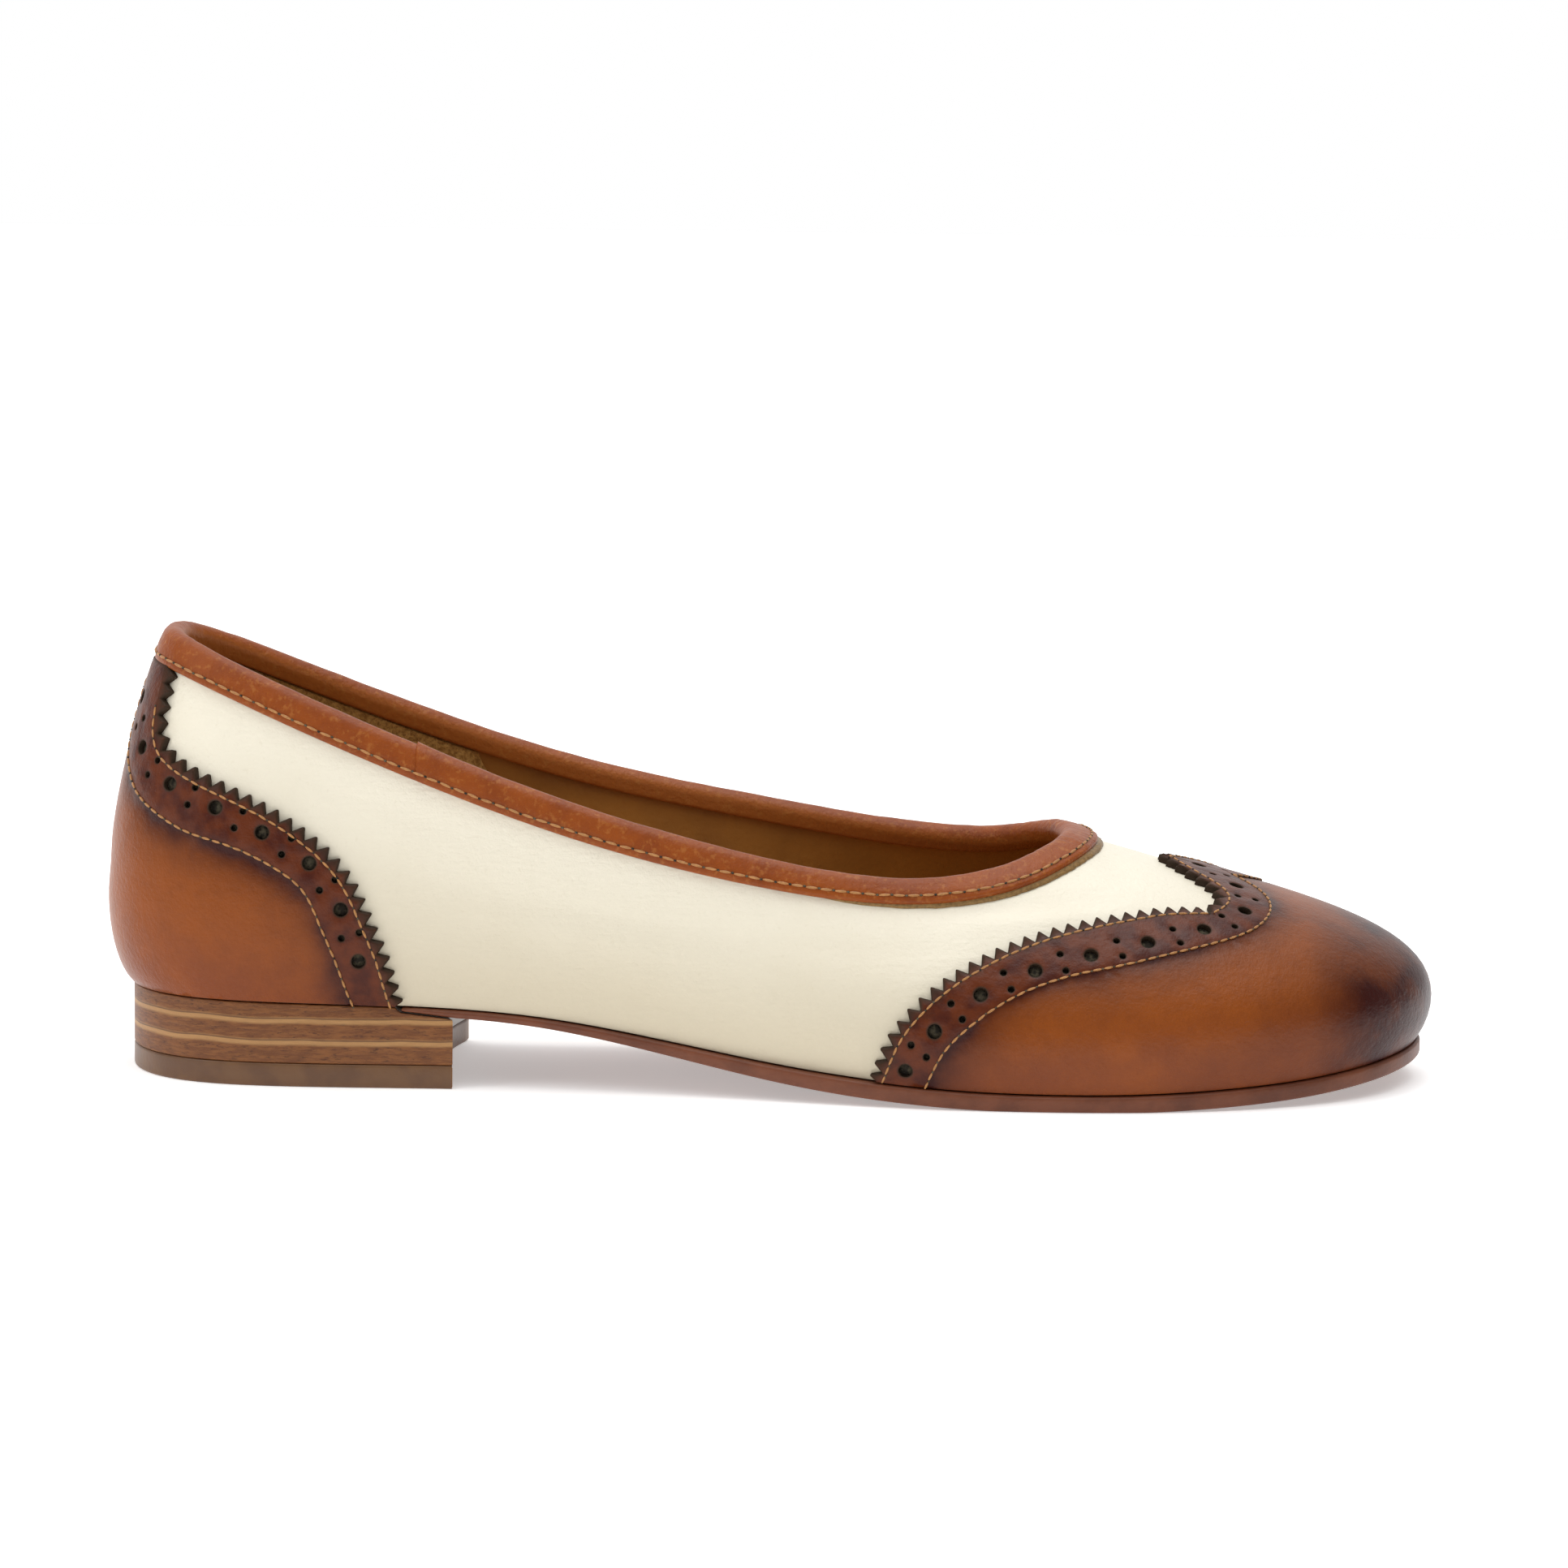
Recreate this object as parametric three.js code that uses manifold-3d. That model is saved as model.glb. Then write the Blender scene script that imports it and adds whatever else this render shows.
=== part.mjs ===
// A women's ballet flat with a wing-tip toe cap, a pinked and punched heel counter, a rolled
// leather topline and a low stacked heel. It is the right shoe, standing empty on its sole.
// Millimetres, +X to the toe, +Z up, the outer side of the foot towards -Y.
import * as THREE from 'three';
import { mergeVertices } from 'three/addons/utils/BufferGeometryUtils.js';
import Module from 'manifold-3d';

const wasm = await Module();
wasm.setup();

// Driving sizes of the last
const LENGTH = 252;
const BALL_WIDTH = 84;
const SEAT_WIDTH = 52;
const BACK_HEIGHT = 65.4;
const INSTEP_HEIGHT = 42.2;
const HEEL_RISE = 12.9;
const TOE_SPRING = 4.8;
const FULLNESS = 10;

// Leather and clearance
const WALL = 1.8;
const OVERLAY = 1.1;
const FIT_GAP = 0.3;

// Topline binding
const BINDING_OUTSIDE = 4.7;
const BINDING_INSIDE = 2.5;
const BINDING_LEATHER = 1;

// Sole and insole
const SOLE_THICKNESS = 3.2;
const WAIST_THICKNESS = 1.5;
const SKIVED_END = 0.7;
const SKIVE_LENGTH = 10;
const TREAD_LEDGE = 1.9;
const WAIST_LEDGE = 0.8;
const INSOLE_THICKNESS = 2.2;

// Heel
const HEEL_LENGTH = 62.3;
const HEEL_LEDGE = 0.8;
const BREAST_HOLLOW = 4;
const TOP_PIECE = 4.5;
const WRAP = 1.2;

// Pinked edges and punched holes
const TOOTH_PITCH = 2.9;
const TOOTH_DEPTH = 1.9;
const PUNCH_RADIUS = 1.35;

// How finely the shoe is divided
const FACETS_PER_RIB = 3;
const FACETS_UP = 6;
const FACETS_ALONG_SOLE = 26;
const PUNCH_SIDES = 6;
const LINE_STEPS = 1;
const CUTTER_RINGS = 6;

// Height of the feather edge over the ball's, along the shoe, as shares of LENGTH, HEEL_RISE
// and TOE_SPRING
const SEAT_LINE = [
  { along: 0.0, heel: 1.0, toe: 0 },
  { along: 0.08, heel: 0.985, toe: 0 },
  { along: 0.18, heel: 0.96, toe: 0 },
  { along: 0.26, heel: 0.912, toe: 0 },
  { along: 0.34, heel: 0.792, toe: 0 },
  { along: 0.42, heel: 0.55, toe: 0 },
  { along: 0.5, heel: 0.285, toe: 0 },
  { along: 0.565, heel: 0.13, toe: 0 },
  { along: 0.635, heel: 0.022, toe: 0 },
  { along: 0.7, heel: -0.012, toe: 0 },
  { along: 0.765, heel: 0, toe: -0.02 },
  { along: 0.85, heel: 0, toe: 0.16 },
  { along: 0.905, heel: 0, toe: 0.38 },
  { along: 0.952, heel: 0, toe: 0.67 },
  { along: 1.0, heel: 0, toe: 1.0 },
];

// Ribs of the last, each from the feather edge up to the topline. foot and rim are places along
// LENGTH, spread and rimSpread shares of the width there, and rise a share of the wall's height.
const BACK_RIB = { foot: 0.026, spread: 0, rim: 0.05, rimSpread: 0, rise: 1.0 };
const TOE_RIB = { foot: 0.986, spread: 0, rim: 0.729, rimSpread: 0, rise: 1.0 };
const OUTER_RIBS = [
  { foot: 0.044, spread: 0.279, rim: 0.06, rimSpread: 0.202, rise: 0.99 },
  { foot: 0.095, spread: 0.448, rim: 0.107, rimSpread: 0.358, rise: 0.928 },
  { foot: 0.179, spread: 0.496, rim: 0.183, rimSpread: 0.446, rise: 0.844 },
  { foot: 0.278, spread: 0.5, rim: 0.278, rimSpread: 0.496, rise: 0.773 },
  { foot: 0.377, spread: 0.478, rim: 0.373, rimSpread: 0.471, rise: 0.752 },
  { foot: 0.476, spread: 0.457, rim: 0.464, rimSpread: 0.415, rise: 0.784 },
  { foot: 0.575, spread: 0.471, rim: 0.548, rimSpread: 0.366, rise: 0.81 },
  { foot: 0.675, spread: 0.495, rim: 0.615, rimSpread: 0.331, rise: 0.832 },
  { foot: 0.766, spread: 0.495, rim: 0.667, rimSpread: 0.29, rise: 0.883 },
  { foot: 0.845, spread: 0.45, rim: 0.698, rimSpread: 0.226, rise: 0.94 },
  { foot: 0.913, spread: 0.36, rim: 0.717, rimSpread: 0.155, rise: 0.983 },
  { foot: 0.963, spread: 0.214, rim: 0.726, rimSpread: 0.079, rise: 1.0 },
];
const INNER_RIBS = [
  { foot: 0.044, spread: 0.275, rim: 0.06, rimSpread: 0.202, rise: 0.99 },
  { foot: 0.095, spread: 0.442, rim: 0.107, rimSpread: 0.358, rise: 0.928 },
  { foot: 0.179, spread: 0.485, rim: 0.183, rimSpread: 0.446, rise: 0.847 },
  { foot: 0.278, spread: 0.45, rim: 0.278, rimSpread: 0.496, rise: 0.783 },
  { foot: 0.381, spread: 0.355, rim: 0.373, rimSpread: 0.471, rise: 0.78 },
  { foot: 0.484, spread: 0.322, rim: 0.464, rimSpread: 0.415, rise: 0.847 },
  { foot: 0.587, spread: 0.366, rim: 0.548, rimSpread: 0.366, rise: 0.894 },
  { foot: 0.683, spread: 0.424, rim: 0.615, rimSpread: 0.331, rise: 0.897 },
  { foot: 0.774, spread: 0.438, rim: 0.667, rimSpread: 0.29, rise: 0.909 },
  { foot: 0.857, spread: 0.395, rim: 0.698, rimSpread: 0.226, rise: 0.95 },
  { foot: 0.921, spread: 0.314, rim: 0.717, rimSpread: 0.155, rise: 0.986 },
  { foot: 0.966, spread: 0.188, rim: 0.726, rimSpread: 0.079, rise: 1.0 },
];

// Form of each rib's curve from the back to the toe, the same on both sides. out and swell are
// shares of FULLNESS at its lower and upper handle, up and drop shares of the wall's height, and
// ease how far the upper handle leans from the rim to the foot.
const RIB_FORMS = [
  { out: 0.9, up: 0.168, ease: 0.33, swell: 0.68, drop: 0.368 },
  { out: 0.85, up: 0.17, ease: 0.33, swell: 0.6, drop: 0.37 },
  { out: 0.7, up: 0.182, ease: 0.33, swell: 0.48, drop: 0.38 },
  { out: 0.55, up: 0.21, ease: 0.33, swell: 0.38, drop: 0.4 },
  { out: 0.5, up: 0.253, ease: 0.33, swell: 0.32, drop: 0.437 },
  { out: 0.48, up: 0.29, ease: 0.33, swell: 0.28, drop: 0.447 },
  { out: 0.48, up: 0.305, ease: 0.33, swell: 0.26, drop: 0.415 },
  { out: 0.52, up: 0.335, ease: 0.34, swell: 0.26, drop: 0.375 },
  { out: 0.6, up: 0.37, ease: 0.36, swell: 0.28, drop: 0.34 },
  { out: 0.7, up: 0.415, ease: 0.42, swell: 0.28, drop: 0.315 },
  { out: 0.93, up: 0.465, ease: 0.507, swell: 0.24, drop: 0.326 },
  { out: 1.124, up: 0.51, ease: 0.582, swell: 0.16, drop: 0.34 },
  { out: 1.247, up: 0.54, ease: 0.634, swell: 0.06, drop: 0.358 },
  { out: 1.274, up: 0.553, ease: 0.647, swell: 0, drop: 0.366 },
];

// Lines of the overlays on the outer side, by rib number from the back and share of the way up a
// rib. The inner side mirrors them. The wing's edge turns a corner at its notch.
const WING_SIDE = [
  { rib: 6.98, up: -0.05 },
  { rib: 7.12, up: 0.18 },
  { rib: 7.33, up: 0.364 },
  { rib: 7.67, up: 0.525 },
  { rib: 8.13, up: 0.645 },
  { rib: 8.63, up: 0.714 },
  { rib: 9.15, up: 0.743 },
  { rib: 9.71, up: 0.748 },
  { rib: 10.31, up: 0.741 },
  { rib: 10.75, up: 0.727 },
  { rib: 11.13, up: 0.7 },
];
const WING_PEAK = [
  { rib: 11.13, up: 0.7 },
  { rib: 11.53, up: 0.719 },
  { rib: 11.88, up: 0.762 },
  { rib: 12.17, up: 0.808 },
  { rib: 12.57, up: 0.852 },
  { rib: 13, up: 0.872 },
];
const WING_PUNCHES = [
  { rib: 7.29, up: 0.09 },
  { rib: 7.56, up: 0.299 },
  { rib: 8.03, up: 0.476 },
  { rib: 8.61, up: 0.566 },
  { rib: 9.23, up: 0.6 },
  { rib: 9.92, up: 0.614 },
  { rib: 10.66, up: 0.62 },
  { rib: 11.49, up: 0.65 },
  { rib: 12.3, up: 0.728 },
  { rib: 13, up: 0.804 },
];
const COUNTER_SIDE = [
  { rib: 3.57, up: -0.05 },
  { rib: 3.47, up: 0.206 },
  { rib: 3.38, up: 0.342 },
  { rib: 3.26, up: 0.472 },
  { rib: 3.13, up: 0.563 },
  { rib: 2.93, up: 0.631 },
  { rib: 2.65, up: 0.679 },
  { rib: 2.36, up: 0.706 },
  { rib: 2.04, up: 0.722 },
  { rib: 1.69, up: 0.737 },
  { rib: 1.36, up: 0.762 },
  { rib: 1.21, up: 0.802 },
  { rib: 1.18, up: 0.848 },
];
const COUNTER_PUNCHES = [
  { rib: 0.43, up: 0.846 },
  { rib: 0.89, up: 0.738 },
  { rib: 1.43, up: 0.677 },
  { rib: 1.95, up: 0.652 },
  { rib: 2.4, up: 0.618 },
  { rib: 2.81, up: 0.56 },
  { rib: 3.07, up: 0.425 },
  { rib: 3.21, up: 0.231 },
];

// Where the width and the height of the last change over, along the shoe
const WIDTH_CHANGE = { from: 0.25, to: 0.65 };
const HEIGHT_CHANGE = { from: 0.05, to: 0.6 };
const SOLE_CHANGE = { from: 0.27, to: 0.58 };

const RIB_COUNT = OUTER_RIBS.length + INNER_RIBS.length + 2;
const TOE = RIB_COUNT / 2;
const SEAT_BASE = SOLE_THICKNESS + FIT_GAP;
const OVERLAY_OUTSIDE = FIT_GAP + OVERLAY;

function smoothShare(change, place) {
  const share = THREE.MathUtils.clamp((place - change.from) / (change.to - change.from), 0, 1);
  return share * share * (3 - 2 * share);
}

// Cubic spline through one column of values, without bend at its two ends
function splineThrough(places, values) {
  const last = places.length - 1;
  const bend = new Array(places.length).fill(0);
  const carry = new Array(places.length).fill(0);
  for (let i = 1; i < last; i++) {
    const before = places[i] - places[i - 1];
    const after = places[i + 1] - places[i];
    const turn = (values[i + 1] - values[i]) / after - (values[i] - values[i - 1]) / before;
    const pivot = 2 * (before + after) - before * carry[i - 1];
    carry[i] = after / pivot;
    bend[i] = (6 * turn - before * bend[i - 1]) / pivot;
  }
  for (let i = last - 1; i > 0; i--) {
    bend[i] -= carry[i] * bend[i + 1];
  }
  return (place) => {
    let i = 1;
    while (i < last && place > places[i]) {
      i += 1;
    }
    const width = places[i] - places[i - 1];
    const left = (places[i] - place) / width;
    const right = (place - places[i - 1]) / width;
    const chord = left * values[i - 1] + right * values[i];
    const bow = (left ** 3 - left) * bend[i - 1] + (right ** 3 - right) * bend[i];
    return chord + bow * width * width / 6;
  };
}

function columnSpline(rows, key, column) {
  return splineThrough(rows.map((row) => row[key]), rows.map((row) => row[column]));
}

// Seat line, width and height of the last at a place along the shoe
const heelShare = columnSpline(SEAT_LINE, 'along', 'heel');
const toeShare = columnSpline(SEAT_LINE, 'along', 'toe');

function seatHeight(x) {
  const along = x / LENGTH;
  return SEAT_BASE + HEEL_RISE * heelShare(along) + TOE_SPRING * toeShare(along);
}

function widthAt(along) {
  return SEAT_WIDTH + (BALL_WIDTH - SEAT_WIDTH) * smoothShare(WIDTH_CHANGE, along);
}

function heightAt(along) {
  return BACK_HEIGHT + (INSTEP_HEIGHT - BACK_HEIGHT) * smoothShare(HEIGHT_CHANGE, along);
}

// One rib in millimetres, on side -1 for the outer and +1 for the inner side of the foot
function ribInMillimetres(rib, form, side) {
  const rimX = rib.rim * LENGTH;
  return {
    footX: rib.foot * LENGTH,
    footY: side * rib.spread * widthAt(rib.foot),
    rimX,
    rimY: side * rib.rimSpread * widthAt(rib.rim),
    rimZ: seatHeight(rimX) + rib.rise * heightAt(rib.rim),
    out: form.out * FULLNESS,
    up: form.up,
    ease: form.ease,
    swell: form.swell * FULLNESS,
    drop: form.drop,
  };
}

// Splines round the closed row of ribs: the row is laid out with a few ribs repeated at each end
function ribSplines() {
  const around = [ribInMillimetres(BACK_RIB, RIB_FORMS[0], 0)];
  OUTER_RIBS.forEach((rib, i) => around.push(ribInMillimetres(rib, RIB_FORMS[i + 1], -1)));
  around.push(ribInMillimetres(TOE_RIB, RIB_FORMS[TOE], 0));
  [...INNER_RIBS].reverse().forEach((rib, i) => {
    around.push(ribInMillimetres(rib, RIB_FORMS[TOE - 1 - i], 1));
  });
  const repeated = 6;
  const rows = [];
  for (let i = -repeated; i <= RIB_COUNT + repeated; i++) {
    rows.push({ at: i, ...around[(i + RIB_COUNT) % RIB_COUNT] });
  }
  const splines = {};
  for (const column of Object.keys(around[0])) {
    splines[column] = columnSpline(rows, 'at', column);
  }
  return splines;
}

const RIB = ribSplines();
const SMALL_STEP = 0.001;

// Level direction out of the shoe at a rib's foot
function footNormal(rib) {
  const dx = RIB.footX(rib + SMALL_STEP) - RIB.footX(rib - SMALL_STEP);
  const dy = RIB.footY(rib + SMALL_STEP) - RIB.footY(rib - SMALL_STEP);
  return new THREE.Vector3(dy, -dx, 0).normalize();
}

// Point of the last's surface at a rib number and a share of the way up the rib
function lastPoint(rib, up) {
  const foot = new THREE.Vector3(RIB.footX(rib), RIB.footY(rib), 0);
  foot.z = seatHeight(foot.x);
  const rim = new THREE.Vector3(RIB.rimX(rib), RIB.rimY(rib), RIB.rimZ(rib));
  const height = rim.z - foot.z;
  const outward = footNormal(rib);
  const lower = foot.clone().addScaledVector(outward, RIB.out(rib));
  lower.z += RIB.up(rib) * height;
  const upper = rim.clone().lerp(foot, RIB.ease(rib)).addScaledVector(outward, RIB.swell(rib));
  upper.z = rim.z - RIB.drop(rib) * height;
  const rest = 1 - up;
  return foot.multiplyScalar(rest ** 3)
    .addScaledVector(lower, 3 * up * rest * rest)
    .addScaledVector(upper, 3 * up * up * rest)
    .addScaledVector(rim, up ** 3);
}

// Surface directions along the ribs' row and up a rib, in millimetres per unit, and the normal
function lastFrame(rib, up) {
  const scale = 0.5 / SMALL_STEP;
  const around = lastPoint(rib + SMALL_STEP, up).sub(lastPoint(rib - SMALL_STEP, up));
  const upward = lastPoint(rib, up + SMALL_STEP).sub(lastPoint(rib, up - SMALL_STEP));
  around.multiplyScalar(scale);
  upward.multiplyScalar(scale);
  const normal = around.clone().cross(upward).normalize();
  return { around, upward, normal };
}

function offsetPoint(rib, up, distance) {
  return lastPoint(rib, up).addScaledVector(lastFrame(rib, up).normal, distance);
}

// Point beside a rib's foot, level with the feather edge there
function footPoint(rib, distance) {
  const point = lastPoint(rib, 0).addScaledVector(footNormal(rib), distance);
  point.z = seatHeight(point.x);
  return point;
}

// Share of the way up a rib at a distance below the topline, measured down the wall
function upBelowRim(rib, distance) {
  const step = 0.004;
  let up = 1;
  let travelled = 0;
  let here = lastPoint(rib, up);
  while (travelled < distance) {
    const next = lastPoint(rib, up - step);
    const length = next.distanceTo(here);
    if (travelled + length >= distance) {
      return up - step * (distance - travelled) / length;
    }
    travelled += length;
    up -= step;
    here = next;
  }
  return up;
}

// Conversions between three.js geometry and solids that can be joined and cut
function solidOf(geometry) {
  geometry.deleteAttribute('normal');
  geometry.deleteAttribute('uv');
  const merged = mergeVertices(geometry);
  return new wasm.Manifold(new wasm.Mesh({
    numProp: 3,
    vertProperties: new Float32Array(merged.attributes.position.array),
    triVerts: new Uint32Array(merged.index.array),
  }));
}

function geometryOf(solid) {
  const mesh = solid.getMesh();
  const geometry = new THREE.BufferGeometry();
  geometry.setAttribute('position', new THREE.BufferAttribute(mesh.vertProperties, 3));
  geometry.setIndex(new THREE.BufferAttribute(mesh.triVerts, 1));
  geometry.computeVertexNormals();
  return geometry;
}

function indexedGeometry(points, triangles) {
  const geometry = new THREE.BufferGeometry().setFromPoints(points);
  geometry.setIndex(triangles.flat());
  return geometry;
}

// Solid swept through closed sections of equally many points. An open sweep is capped by the
// strip between each section's first half and its second.
function sweep(sections, closed) {
  const size = sections[0].length;
  const triangles = [];
  const spans = closed ? sections.length : sections.length - 1;
  for (let i = 0; i < spans; i++) {
    const here = i * size;
    const next = ((i + 1) % sections.length) * size;
    for (let j = 0; j < size; j++) {
      const k = (j + 1) % size;
      triangles.push([here + j, next + j, next + k], [here + j, next + k, here + k]);
    }
  }
  if (!closed) {
    const end = (sections.length - 1) * size;
    for (let j = 0; j < size / 2 - 1; j++) {
      const across = size - 1 - j;
      triangles.push([j, j + 1, across - 1], [j, across - 1, across]);
      triangles.push([end + j, end + across - 1, end + j + 1]);
      triangles.push([end + j, end + across, end + across - 1]);
    }
  }
  return solidOf(indexedGeometry(sections.flat(), triangles));
}

// Wall section at a rib between two distances off the last, up the outside and down the inside
function wallSection(rib, inside, outside) {
  const outer = [footPoint(rib, outside)];
  const inner = [footPoint(rib, inside)];
  for (let i = 1; i <= FACETS_UP; i++) {
    outer.push(offsetPoint(rib, i / FACETS_UP, outside));
    inner.push(offsetPoint(rib, i / FACETS_UP, inside));
  }
  return [...outer, ...inner.reverse()];
}

function ribSteps(from, to) {
  const first = Math.floor(from * FACETS_PER_RIB);
  const last = Math.ceil(to * FACETS_PER_RIB);
  return Array.from({ length: last - first + 1 }, (_, i) => (first + i) / FACETS_PER_RIB);
}

function makeUpper() {
  const ribs = ribSteps(0, RIB_COUNT).slice(0, -1);
  return sweep(ribs.map((rib) => wallSection(rib, -WALL, 0)), true);
}

// Layer of leather over the upper from one rib to another, before it is cut to its outline
function makeLayer(from, to) {
  const ribs = ribSteps(from, to);
  return sweep(ribs.map((rib) => wallSection(rib, FIT_GAP, OVERLAY_OUTSIDE)), false);
}

// Smooth line through a table of places on the last, as a function from 0 to 1
function patternLine(rows) {
  const numbered = rows.map((row, i) => ({ at: i / (rows.length - 1), ...row }));
  const rib = columnSpline(numbered, 'at', 'rib');
  const up = columnSpline(numbered, 'at', 'up');
  return (at) => ({ rib: rib(at), up: up(at) });
}

function mirrored(rows) {
  return rows.map((row) => ({ rib: RIB_COUNT - row.rib, up: row.up }));
}

function sampleLine(rows) {
  const line = patternLine(rows);
  const steps = (rows.length - 1) * LINE_STEPS;
  return Array.from({ length: steps + 1 }, (_, i) => line(i / steps));
}

// Places at an even pitch along a line, measured on the surface, with the line's direction there
function pacedPlaces(rows, pitch, start) {
  const line = patternLine(rows);
  const fine = 400;
  const places = [];
  let travelled = 0;
  let due = start;
  let here = lastPoint(line(0).rib, line(0).up);
  for (let i = 1; i <= fine; i++) {
    const place = line(i / fine);
    const next = lastPoint(place.rib, place.up);
    travelled += next.distanceTo(here);
    if (travelled >= due) {
      places.push({ ...place, point: next, direction: next.clone().sub(here).normalize() });
      due += pitch;
    }
    here = next;
  }
  return places;
}

// The places of a table themselves, each with its point and the line's direction there
function markedPlaces(rows) {
  const line = patternLine(rows);
  const pointAt = (at) => {
    const place = line(THREE.MathUtils.clamp(at, 0, 1));
    return lastPoint(place.rib, place.up);
  };
  return rows.map((row, i) => {
    const at = i / (rows.length - 1);
    const ahead = pointAt(at + SMALL_STEP);
    const direction = ahead.clone().sub(pointAt(at - SMALL_STEP)).normalize();
    return { ...row, point: lastPoint(row.rib, row.up), direction };
  });
}

// Prism through the overlay at a place on the last, its outline given along and across the line
function punch(place, outline) {
  const reach = 3 * OVERLAY_OUTSIDE;
  const shape = new THREE.Shape(outline.map(([along, across]) => new THREE.Vector2(along, across)));
  const geometry = new THREE.ExtrudeGeometry(shape, { depth: 2 * reach, bevelEnabled: false });
  geometry.translate(0, 0, -reach);
  const normal = lastFrame(place.rib, place.up).normal;
  const across = normal.clone().cross(place.direction).normalize();
  const along = across.clone().cross(normal);
  geometry.applyMatrix4(new THREE.Matrix4().makeBasis(along, across, normal));
  geometry.translate(place.point.x, place.point.y, place.point.z);
  return solidOf(geometry);
}

// Hole outline, and notch outline on the side of the line that side names, +1 or -1. The notch is
// a triangle as deep outside the line as inside, and neighbours just cross at the tooth between.
function holeOutline() {
  return Array.from({ length: PUNCH_SIDES }, (_, i) => {
    const angle = (i + 0.5) * 2 * Math.PI / PUNCH_SIDES;
    return [PUNCH_RADIUS * Math.cos(angle), PUNCH_RADIUS * Math.sin(angle)];
  });
}

function notchOutline(side) {
  const crossing = 1.04;
  const half = crossing * TOOTH_PITCH;
  return [[-half, -side * TOOTH_DEPTH], [half, -side * TOOTH_DEPTH], [0, side * TOOTH_DEPTH]];
}

// The overlay's cutter: its outline in ribs and shares, drawn in rings about a middle place and
// raised to both sides of the layer
function outlineCutter(outline, middle) {
  const reach = 3 * OVERLAY_OUTSIDE;
  const points = [offsetPoint(middle.rib, middle.up, -reach), offsetPoint(middle.rib, middle.up, reach)];
  for (let ring = 1; ring <= CUTTER_RINGS; ring++) {
    const share = ring / CUTTER_RINGS;
    for (const place of outline) {
      const rib = THREE.MathUtils.lerp(middle.rib, place.rib, share);
      const up = THREE.MathUtils.lerp(middle.up, place.up, share);
      points.push(offsetPoint(rib, up, -reach), offsetPoint(rib, up, reach));
    }
  }
  const triangles = [];
  const count = outline.length;
  const at = (ring, i) => 2 + 2 * ((ring - 1) * count + (i % count));
  for (let i = 0; i < count; i++) {
    triangles.push([0, at(1, i), at(1, i + 1)], [1, at(1, i + 1) + 1, at(1, i) + 1]);
    for (let ring = 1; ring < CUTTER_RINGS; ring++) {
      const [a, b, c, d] = [at(ring, i), at(ring, i + 1), at(ring + 1, i + 1), at(ring + 1, i)];
      triangles.push([a, d, c], [a, c, b], [a + 1, c + 1, d + 1], [a + 1, b + 1, c + 1]);
    }
    const [e, f] = [at(CUTTER_RINGS, i), at(CUTTER_RINGS, i + 1)];
    triangles.push([e, e + 1, f + 1], [e, f + 1, f]);
  }
  return solidOf(indexedGeometry(points, triangles));
}

// Places along the bottom of an overlay, just below the feather edge
function footRow(from, to, up) {
  return ribSteps(from, to).filter((rib) => rib > from && rib < to).map((rib) => ({ rib, up }));
}

function joined(solids) {
  return solids.reduce((whole, solid) => whole.add(solid));
}

// Notches along a pinked edge on both sides of the foot. side, +1 or -1, tells on which hand of
// the line the overlay lies on the outer side of the foot.
function notchesAlong(rows, side) {
  const outer = pacedPlaces(rows, TOOTH_PITCH, TOOTH_PITCH / 2);
  const inner = pacedPlaces(mirrored(rows), TOOTH_PITCH, TOOTH_PITCH / 2);
  return joined([
    ...outer.map((place) => punch(place, notchOutline(side))),
    ...inner.map((place) => punch(place, notchOutline(-side))),
  ]);
}

function makeToeCap() {
  const half = [...sampleLine(WING_SIDE), ...sampleLine(WING_PEAK).slice(1)];
  const otherHalf = mirrored(half).reverse().slice(1);
  const bottom = footRow(half[0].rib, RIB_COUNT - half[0].rib, half[0].up).reverse();
  const outline = [...half, ...otherHalf, ...bottom];
  const layer = makeLayer(half[0].rib, RIB_COUNT - half[0].rib);
  const cutter = outlineCutter(outline, { rib: TOE, up: 0.1 });
  const outerHoles = markedPlaces(WING_PUNCHES);
  const innerHoles = markedPlaces(mirrored(WING_PUNCHES)).slice(0, -1);
  const holes = [...outerHoles, ...innerHoles].map((place) => punch(place, holeOutline()));
  return layer.intersect(cutter)
    .subtract(notchesAlong(WING_SIDE, -1))
    .subtract(notchesAlong(WING_PEAK, -1))
    .subtract(joined(holes));
}

// The counter's side line, run up to the lower edge of the binding
function counterSide() {
  const top = { rib: COUNTER_SIDE.at(-1).rib };
  top.up = upBelowRim(top.rib, BINDING_OUTSIDE + FIT_GAP);
  return [...COUNTER_SIDE, top];
}

function makeHeelCounter() {
  const side = counterSide();
  const half = sampleLine(side);
  const topSteps = 6;
  const top = [];
  for (let i = 1; i < topSteps; i++) {
    const rib = THREE.MathUtils.lerp(side.at(-1).rib, -side.at(-1).rib, i / topSteps);
    top.push({ rib, up: upBelowRim(rib, BINDING_OUTSIDE + FIT_GAP) });
  }
  const otherHalf = half.map((place) => ({ rib: -place.rib, up: place.up })).reverse();
  const bottom = footRow(-half[0].rib, half[0].rib, half[0].up);
  const outline = [...half, ...top, ...otherHalf, ...bottom];
  const layer = makeLayer(-side[0].rib, side[0].rib);
  const cutter = outlineCutter(outline.reverse(), { rib: 0, up: 0.3 });
  const outerHoles = markedPlaces(COUNTER_PUNCHES);
  const innerHoles = markedPlaces(mirrored(COUNTER_PUNCHES));
  const holes = [...outerHoles, ...innerHoles].map((place) => punch(place, holeOutline()));
  return layer.intersect(cutter).subtract(notchesAlong(side, 1)).subtract(joined(holes));
}

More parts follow.
